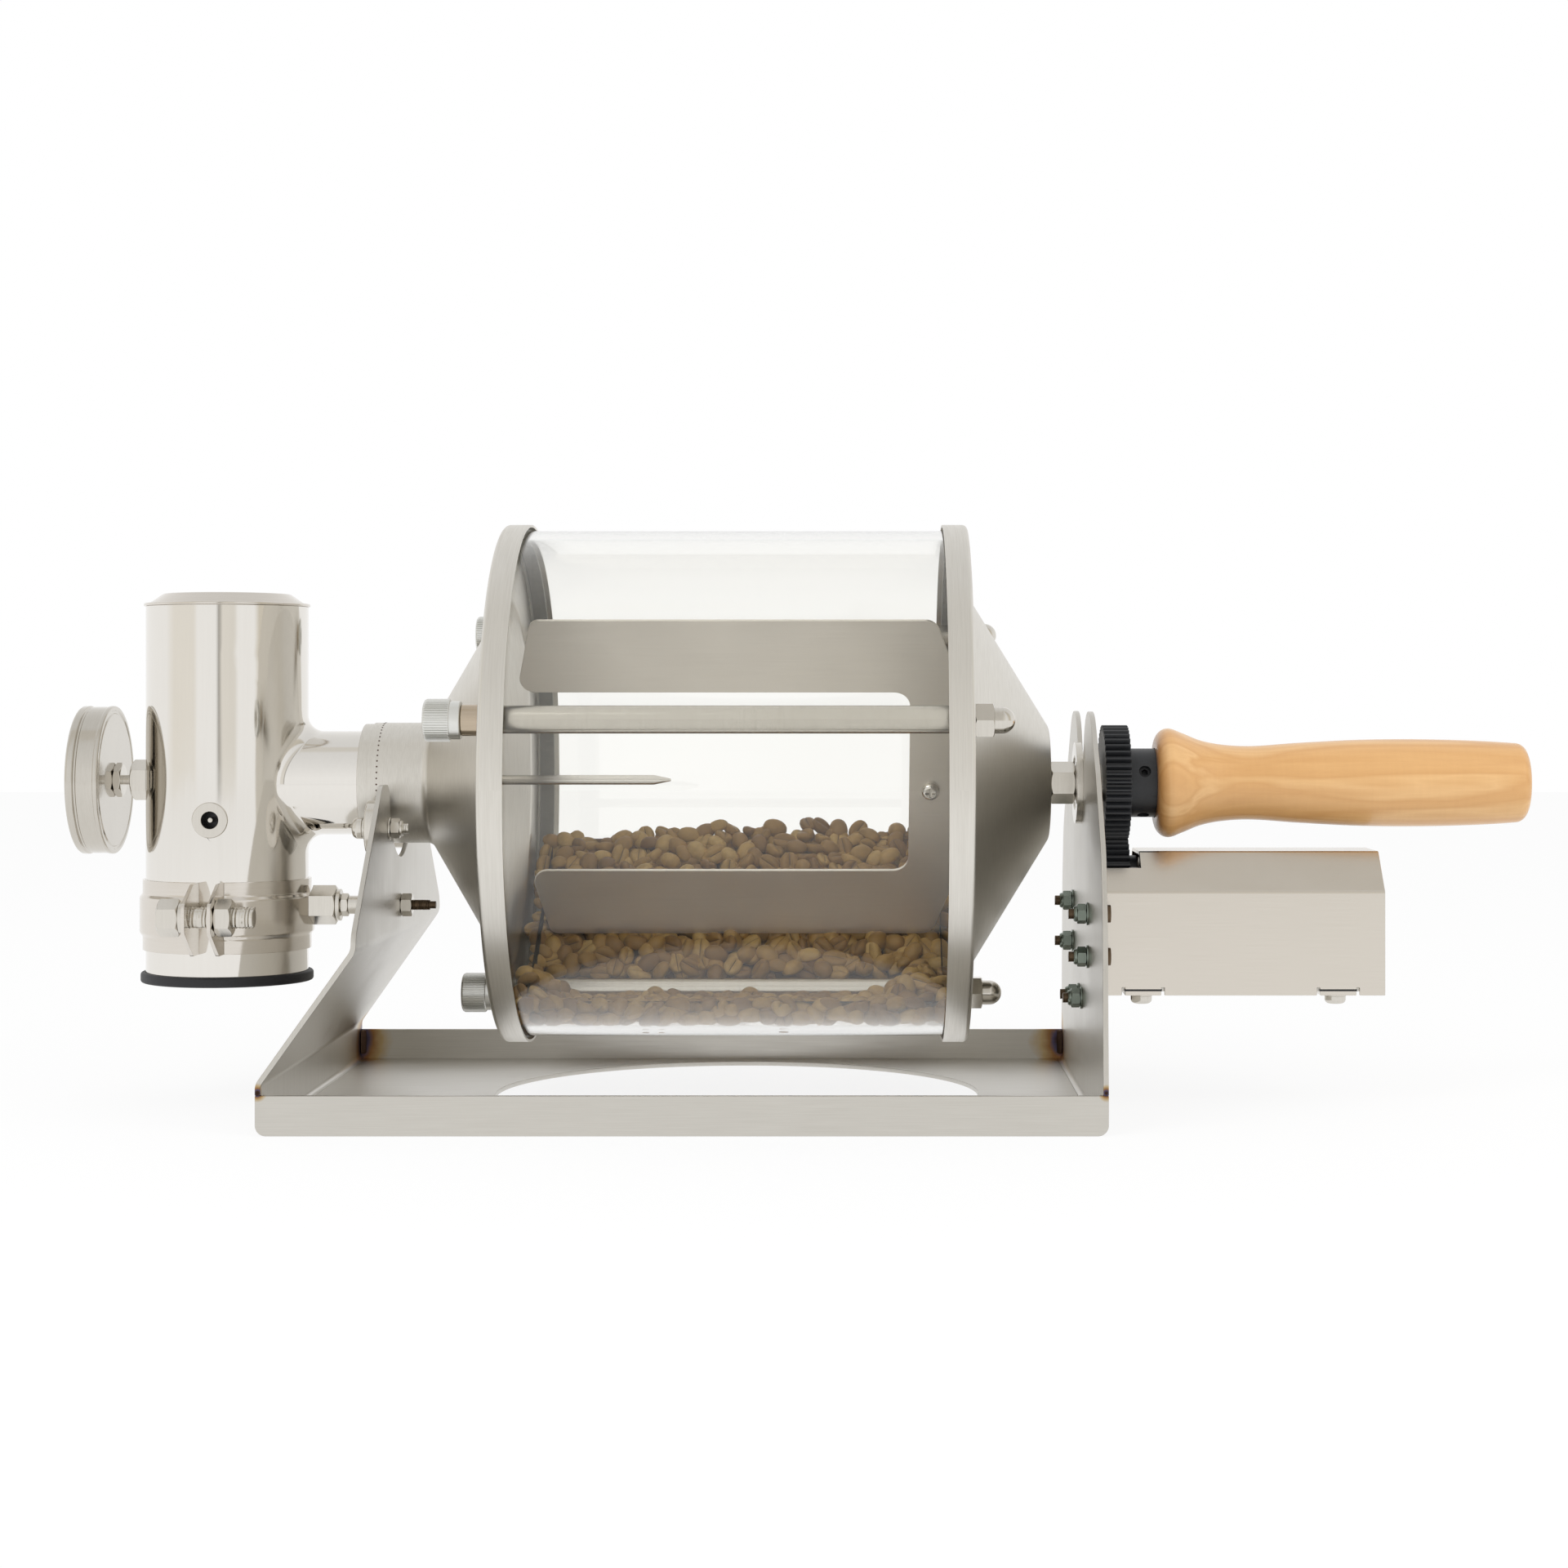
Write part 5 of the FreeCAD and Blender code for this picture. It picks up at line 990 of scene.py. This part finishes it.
# name, rounding and the material where it isn't bright steel
softened = {
    "corner_welds": ("cornerWeldBeads", 0.8, weldMetal), "roller_bolts": ("rollerBoltSet", 0.12),
    "front_roller": ("frontNeckRoller", 0.2), "rear_roller": ("rearNeckRoller", 0.2),
    "tie_studs": ("tieStudRods", 0.1), "drum_shaft": ("drumShaftRod", 0.3),
    "shaft_nuts": ("shaftNutSet", 0.15), "bearing_outer_ring": ("bearingOuterRace", 0.15),
    "bearing_inner_ring": ("bearingInnerRace", 0.15), "drum_gear": ("drumGearWheel", 0.1, gearBlack),
    "gear_set_screws": ("gearSetScrews", 0.08, blackSteel), "pinion": ("pinionGearWheel", 0.1, gearBlack),
    "motor_spindle": ("motorSpindleRod", 0.1), "motor_bracket": ("motorBracketSheet", 0.25, sheetUpright),
    "bracket_bolts": ("bracketBoltSet", 0.12, threadBrown),
    "motor_mount": ("motorMountSheet", 0.25, sheetUpright),
    "gear_motor": ("gearMotorBody", 0.3, motorMetal), "mount_screws": ("mountScrewSet", 0.12),
    "motor_cover": ("motorCoverSheet", 0.35, coverSteel), "cover_screws": ("coverScrewSet", 0.12),
    "fan_frame": ("fanFrameRing", 0.2, fanBlack), "fan_rotor": ("fanRotorBlades", 0.15, fanBlack),
    "clamp_bolt": ("clampBoltSet", 0.15), "clamp_nut": ("clampWeldNut", 0.15),
    "clamp_boss": ("clampBossHex", 0.15), "mount_stud": ("mountStudRod", 0.1, threadBrown),
    "stud_nuts": ("studNutSet", 0.15), "gauge_dial": ("gaugeDialPlate", 0.1, dialWhite),
    "gauge_pointer": ("gaugePointerNeedle", 0.05, pointerBlack), "probe_stem": ("probeStemRod", 0.15),
    "probe_gland": ("probeGlandHex", 0.2), "gauge_glass": ("gaugeLens", 0.2, lensGlass),
    "bearing_balls": ("bearingBallSet", 0.0)}
for cadNode, (name, rounding, *other) in softened.items():
    dressed(cadNode, name, *other or [brightSteel], rounding)


# power sockets

sockets = {"flange": 7.15, "flangeThickness": 1.4, "body": 5.5, "length": 11.4, "well": 3.4, "floor": 8.5,
           "pin": 1.1, "pinStart": 1.0, "fanFront": -33.1, "motorPlace": (236, 31.4, 70)}


def socketPiece(name, cadNode, centre, facing):
    # a flanged cup round a centre pin; facing is -1 towards the front and 1 towards the rear
    flange, lip, body, length = picked(sockets, "flange", "flangeThickness", "body", "length")
    well, floor, pin, pinStart = picked(sockets, "well", "floor", "pin", "pinStart")
    x, y, z = centre
    cupLoop = [(0, well, 0.35), (0, flange, 0.45), (lip, flange, 0.2), (lip, body, 0), (length, body, 0.3),
               (length, 0.01, 0), (floor, 0.01, 0), (floor, well, 0)]
    pinLoop = [(pinStart, 0.01, 0), (pinStart, pin, 0.4), (floor, pin, 0), (floor, 0.01, 0)]
    made = putTogether(name, [spun("cup", cupLoop, (0, 0), steps=72, arcs=3),
                              spun("pin", pinLoop, (0, 0), steps=32, arcs=3)])
    made.data.transform(Matrix(((0, 0, facing, x * mm), (-facing, 0, 0, y * mm), (0, -1, 0, z * mm),
                                (0, 0, 0, 1))))

    def dark(px, py, pz):
        return abs(py - y) > 0.5 and pin + 0.1 < math.hypot(px - x, pz - z) < well + 0.3

    finishPiece(made, brightSteel, [cadNode], parts=[(socketBlackAndGapShade, dark)])


socketPiece("fanJackSocket", "fan_jack", (tee["x"], sockets["fanFront"], tee["holeHeight"]), -1)
socketPiece("motorJackSocket", "motor_jack", sockets["motorPlace"], 1)
print("fittings done")


# lock nuts and threads

nuts = {"flats": 7.0, "bore": 1.9, "height": 3.8, "chamfer": 0.6, "collar": 1.2, "washer": 4.5,
        "washerThickness": 0.8, "rollerSeat": -136.2, "bracketSeat": 139.2, "firstTurn": 0.4,
        "nextTurn": 1.1}
rollerPlaces = [(side * 31.402, 110.608) for side in (-1, 1)]
bracketPlaces = [(side * half, z) for side in (-1, 1) for half, z in ((39, 77.2), (39, 60.3), (7.5, 40.9))]


def lockNuts(name, cadNode, material, places, seat, facing):
    # nuts with a raised collar on their washers; facing is 0 towards +X and pi towards -X
    item = putTogether("nutItem", [
        makeNut(nuts["flats"], nuts["bore"], nuts["height"], nuts["chamfer"], nuts["collar"], 48),
        sleeve(-nuts["washerThickness"], 0, nuts["bore"], nuts["washer"], 0.2, 2, 40)])
    points = [((seat, y, z), (nuts["firstTurn"] + nuts["nextTurn"] * index, 0.0, facing))
              for index, (y, z) in enumerate(places)]
    finishPiece(grown(name, placeTree, points, Item=item, Material=material), None, [cadNode])


lockNuts("rollerLockNuts", "roller_nuts", brightSteel, rollerPlaces, nuts["rollerSeat"], 0.0)
lockNuts("bracketLockNuts", "bracket_nuts", zincGreen, bracketPlaces, nuts["bracketSeat"], math.pi)

# threaded pieces: name, material, (start x, length) of each run, places, radius and pitch
threadSets = [
    ("clampBoltThread", brightSteel, [(-212.2, 8.4), (-195.5, 8.2)], [(-47, 76.2)], 4.3, 1.25),
    ("mountStudThread", threadBrown, [(-132.4, 6.6)], [(0, 78)], 2.15, 0.7),
    ("rollerBoltThreads", brightSteel, [(-131.1, 1.7)], rollerPlaces, 2.1, 0.7),
    ("bracketBoltThreads", threadBrown, [(132.3, 1.8)], bracketPlaces, 2.1, 0.7)]
for name, material, runs, places, radius, pitch in threadSets:
    wound = [grown("run", threadTree, Start=(x * mm, y * mm, z * mm), Length=length * mm, Radius=radius * mm,
                   Pitch=pitch * mm, Depth=pitch * 0.6 * mm, Material=material)
             for x, length in runs for y, z in places]
    finishPiece(putTogether(name, wound), None, [], body="stand", angle=50)
print("nuts and threads done")


# thermometer

gauge = {"front": -266.7, "back": -253.6, "radius": 30.15, "waist": 29.8, "groove": 29.3, "opening": 27.2,
         "inside": 28.8, "height": 129.0, "dialFront": -257.5, "tickOuter": 25.2, "tickDepth": 0.06,
         "sweep": 270.0, "numberSize": 5.4, "numberReach": 17.4, "numberBold": 0.16}
front, back, case, waist, groove, opening, inside = picked(
    gauge, "front", "back", "radius", "waist", "groove", "opening", "inside")
caseLoop = [
    (front, opening, 0.4), (front, case, 1.2), (-263.6, case, 0.5), (-263.2, groove, 0.3),
    (-262.5, groove, 0.3), (-262.1, waist, 0.3), (-255.6, waist, 0.3), (-255.2, case, 0.3),
    (back, case, 0.7), (back, 28.4, 0.3), (back - 0.5, 28.0, 0.2), (back - 0.5, 27.2, 0.2),
    (back, 26.8, 0.3), (back, 0.01, 0), (back - 1.0, 0.01, 0), (back - 1.0, inside, 0.3),
    (-265.3, inside, 0.2), (-265.3, opening, 0.2)]
caseShell = spun("gaugeCaseShell", caseLoop, (0, gauge["height"]), steps=192, arcs=4)
finishPiece(caseShell, caseSteel, ["gauge_case"])


def dialMarks():
    # ticks round the dial and plain numbers inside them
    pieces, sweep = [], math.radians(gauge["sweep"])
    outer, reach, height = gauge["tickOuter"], gauge["numberReach"], gauge["height"]
    for count, width, length in ((61, 0.45, 1.8), (13, 0.9, 3.2)):
        item = lofted("tick", [[(x, -width / 2, outer - length), (x, width / 2, outer - length),
                                (x, width / 2, outer), (x, -width / 2, outer)]
                               for x in (gauge["dialFront"], gauge["dialFront"] - gauge["tickDepth"])])
        pieces.append(grown("ticks", ringTree, Item=item, Count=count, First=-sweep / 2, Material=inkBlack,
                            Sweep=sweep * count / (count - 1), Centre=(0, 0, height * mm)))
    for index in range(7):
        turn = math.radians(-gauge["sweep"] / 2 + 45 * index)
        text = bpy.data.curves.new("number", "FONT")
        text.body, text.size, text.extrude = str(50 * index), gauge["numberSize"] * mm, 0.03 * mm
        text.offset = gauge["numberBold"] * mm
        text.align_x, text.align_y = "CENTER", "CENTER"
        holder = inScene("number", text)
        mesh = bpy.data.meshes.new_from_object(holder.evaluated_get(bpy.context.evaluated_depsgraph_get()))
        bpy.data.objects.remove(holder)
        across, up = -reach * math.sin(turn), height + reach * math.cos(turn)
        place = Vector((gauge["dialFront"] - 0.04, across, up)) * mm
        mesh.transform(Matrix(((0, 0, -1, place.x), (-1, 0, 0, place.y), (0, 1, 0, place.z), (0, 0, 0, 1))))
        pieces.append(inScene("number", mesh))
    made = putTogether("gaugeDialMarks", pieces)
    made.data.polygons.foreach_set("material_index", [0] * len(made.data.polygons))
    finishPiece(made, inkBlack, [], body="stand")


dialMarks()


# marks on the sheet parts, and painted shade in the slits above the cover's tabs

marks = {"weldSpots": 64, "weldSpot": 0.45, "weldAlong": -143.3, "slitLow": 45.7, "slitHigh": 46.5,
         "tabHalf": 7.4, "tabOuter": 30.05, "tabInner": 29.0, "leftTab": 162.6, "rightTab": 240.2}
spotTurns = [math.pi * step / 4 for step in range(8)]
spotRings = [(marks["weldSpot"], -0.1), (marks["weldSpot"] * 0.6, 0.12)]
spot = lofted("spot", [
    [(marks["weldAlong"] + radius * math.cos(turn), radius * math.sin(turn), drum["neckRadius"] + rise)
     for turn in spotTurns] for radius, rise in spotRings])
spots = grown("neckWeldSpots", ringTree, Item=spot, Count=marks["weldSpots"], Centre=(0, 0, drumHeight * mm),
              Material=weldMetal)
finishPiece(spots, None, [], body="drum")

# black strips in the slits above the cover's tabs, as painted shade
gapCorners = [(marks[face], marks[level]) for face, level in (
    ("tabOuter", "slitLow"), ("tabInner", "slitLow"), ("tabInner", "slitHigh"), ("tabOuter", "slitHigh"))]
gapShades = [lofted("gap", [[(middle + shift, side * face, level) for face, level in gapCorners]
                       for shift in (-marks["tabHalf"], marks["tabHalf"])])
        for middle in (marks["leftTab"], marks["rightTab"]) for side in (-1, 1)]
finishPiece(putTogether("coverTabGaps", gapShades), socketBlackAndGapShade, [], body="stand")
print("marks done")


# floor, light and camera

studio = {"floorHalf": 4.0, "floorGlow": 0.86, "keyPower": 9.0, "fillPower": 5.0, "worldDiffuse": 0.85}
white = (1, 1, 1, 1)


def floorMaterial():
    # pale, and white where the camera looks at it
    made = bpy.data.materials.new("paleFloor")
    made.use_nodes = True
    tree = made.node_tree
    surface = wire(tree.nodes["Principled BSDF"], Base_Color=(0.93, 0.93, 0.93, 1), Roughness=0.9,
                   Specular_IOR_Level=0.1)
    paths = tree.nodes.new("ShaderNodeLightPath").outputs
    seen = maths("MAXIMUM", paths["Is Camera Ray"],
                 maths("MAXIMUM", paths["Is Glossy Ray"], paths["Is Transmission Ray"]))
    glow = node(tree, "ShaderNodeEmission", Color=white, Strength=1.0)
    mixed = node(tree, "ShaderNodeMixShader", [times(seen, studio["floorGlow"]), surface.outputs[0],
                                               glow.outputs[0]])
    wire(tree.nodes["Material Output"], Surface=mixed.outputs[0])
    return made


half = studio["floorHalf"]
floorCorners = [(-half, -half, 0), (half, -half, 0), (half, half, 0), (-half, half, 0)]
floorMesh = bpy.data.meshes.new("floor")
floorMesh.from_pydata(floorCorners, [], [(0, 1, 2, 3)])
floorMesh.materials.append(floorMaterial())
inScene("floor", floorMesh)


def grey(value, warm=0.0):
    return (value, value * (1 - 0.03 * warm), value * (1 - 0.09 * warm), 1)


def makeWorld():
    # white behind the object, and a studio with a few greyer panels all round for the metal
    world = bpy.data.worlds.new("studioWorld")
    bpy.context.scene.world = world
    world.use_nodes = True
    tree = world.node_tree
    tree.nodes.clear()
    direction = tree.nodes.new("ShaderNodeTexCoord").outputs["Generated"]
    x, y, z = node(tree, "ShaderNodeSeparateXYZ", [direction]).outputs
    azimuth = plus(maths("DIVIDE", maths("ARCTAN2", x, times(y, -1.0)), 2 * math.pi), 0.5)
    panels = ramp(azimuth, [(place, grey(*shade)) for place, *shade in (
        (0.0, 1.0), (0.27, 1.0), (0.31, 0.9, 1), (0.40, 0.9, 1), (0.415, 1.0), (0.49, 1.0), (0.499, 0.42, 1),
        (0.506, 0.55, 1), (0.515, 0.86, 1), (0.56, 0.84, 1), (0.575, 1.0), (0.64, 1.0), (0.66, 0.72, 2),
        (0.71, 0.76, 2), (0.74, 1.0), (1.0, 1.0))])
    height = ramp(plus(times(z, 0.5), 0.5), [
        (0.45, grey(1.0)), (0.6, grey(1.0)), (0.8, grey(0.9)), (1.0, grey(0.8))])
    around = blend(1.0, panels, height, "MULTIPLY")
    paths = tree.nodes.new("ShaderNodeLightPath").outputs
    shown = maths("MAXIMUM", paths["Is Camera Ray"], paths["Is Transmission Ray"])
    light = blend(paths["Is Diffuse Ray"], around, (studio["worldDiffuse"],) * 3 + (1,))
    background = node(tree, "ShaderNodeBackground", Color=blend(shown, light, white))
    node(tree, "ShaderNodeOutputWorld", Surface=background.outputs[0])


makeWorld()


def softLamp(name, place, size, power):
    # a square light aimed at the object's middle, not seen in reflections
    lamp = bpy.data.lights.new(name, "AREA")
    lamp.shape, lamp.size, lamp.size_y, lamp.energy = "RECTANGLE", size, size, power
    made = inScene(name, lamp)
    made.location, made.rotation_mode = place, "QUATERNION"
    made.rotation_quaternion = (Vector((0, 0, 0.1)) - Vector(place)).to_track_quat("-Z", "Y")
    made.visible_glossy = False


softLamp("keyLamp", (-0.9, -1.1, 1.3), 0.9, studio["keyPower"])
softLamp("fillLamp", (1.2, -0.8, 0.9), 0.8, studio["fillPower"])

cameraSizes = {"place": (0.049, -1.174, 0.1603), "lens": 66.06, "shiftX": -0.0469, "shiftY": -0.0516}
cameraData = bpy.data.cameras.new("camera")
cameraData.sensor_width, cameraData.sensor_fit = 36.0, "HORIZONTAL"
cameraData.lens = cameraSizes["lens"]
cameraData.shift_x, cameraData.shift_y = cameraSizes["shiftX"], cameraSizes["shiftY"]
cameraData.clip_start, cameraData.clip_end = 0.01, 50
camera = inScene("camera", cameraData)
camera.location, camera.rotation_euler = cameraSizes["place"], (math.radians(90), 0, 0)
bpy.context.scene.camera = camera
bpy.context.scene.view_settings.view_transform = "Standard"

print("scene ready")
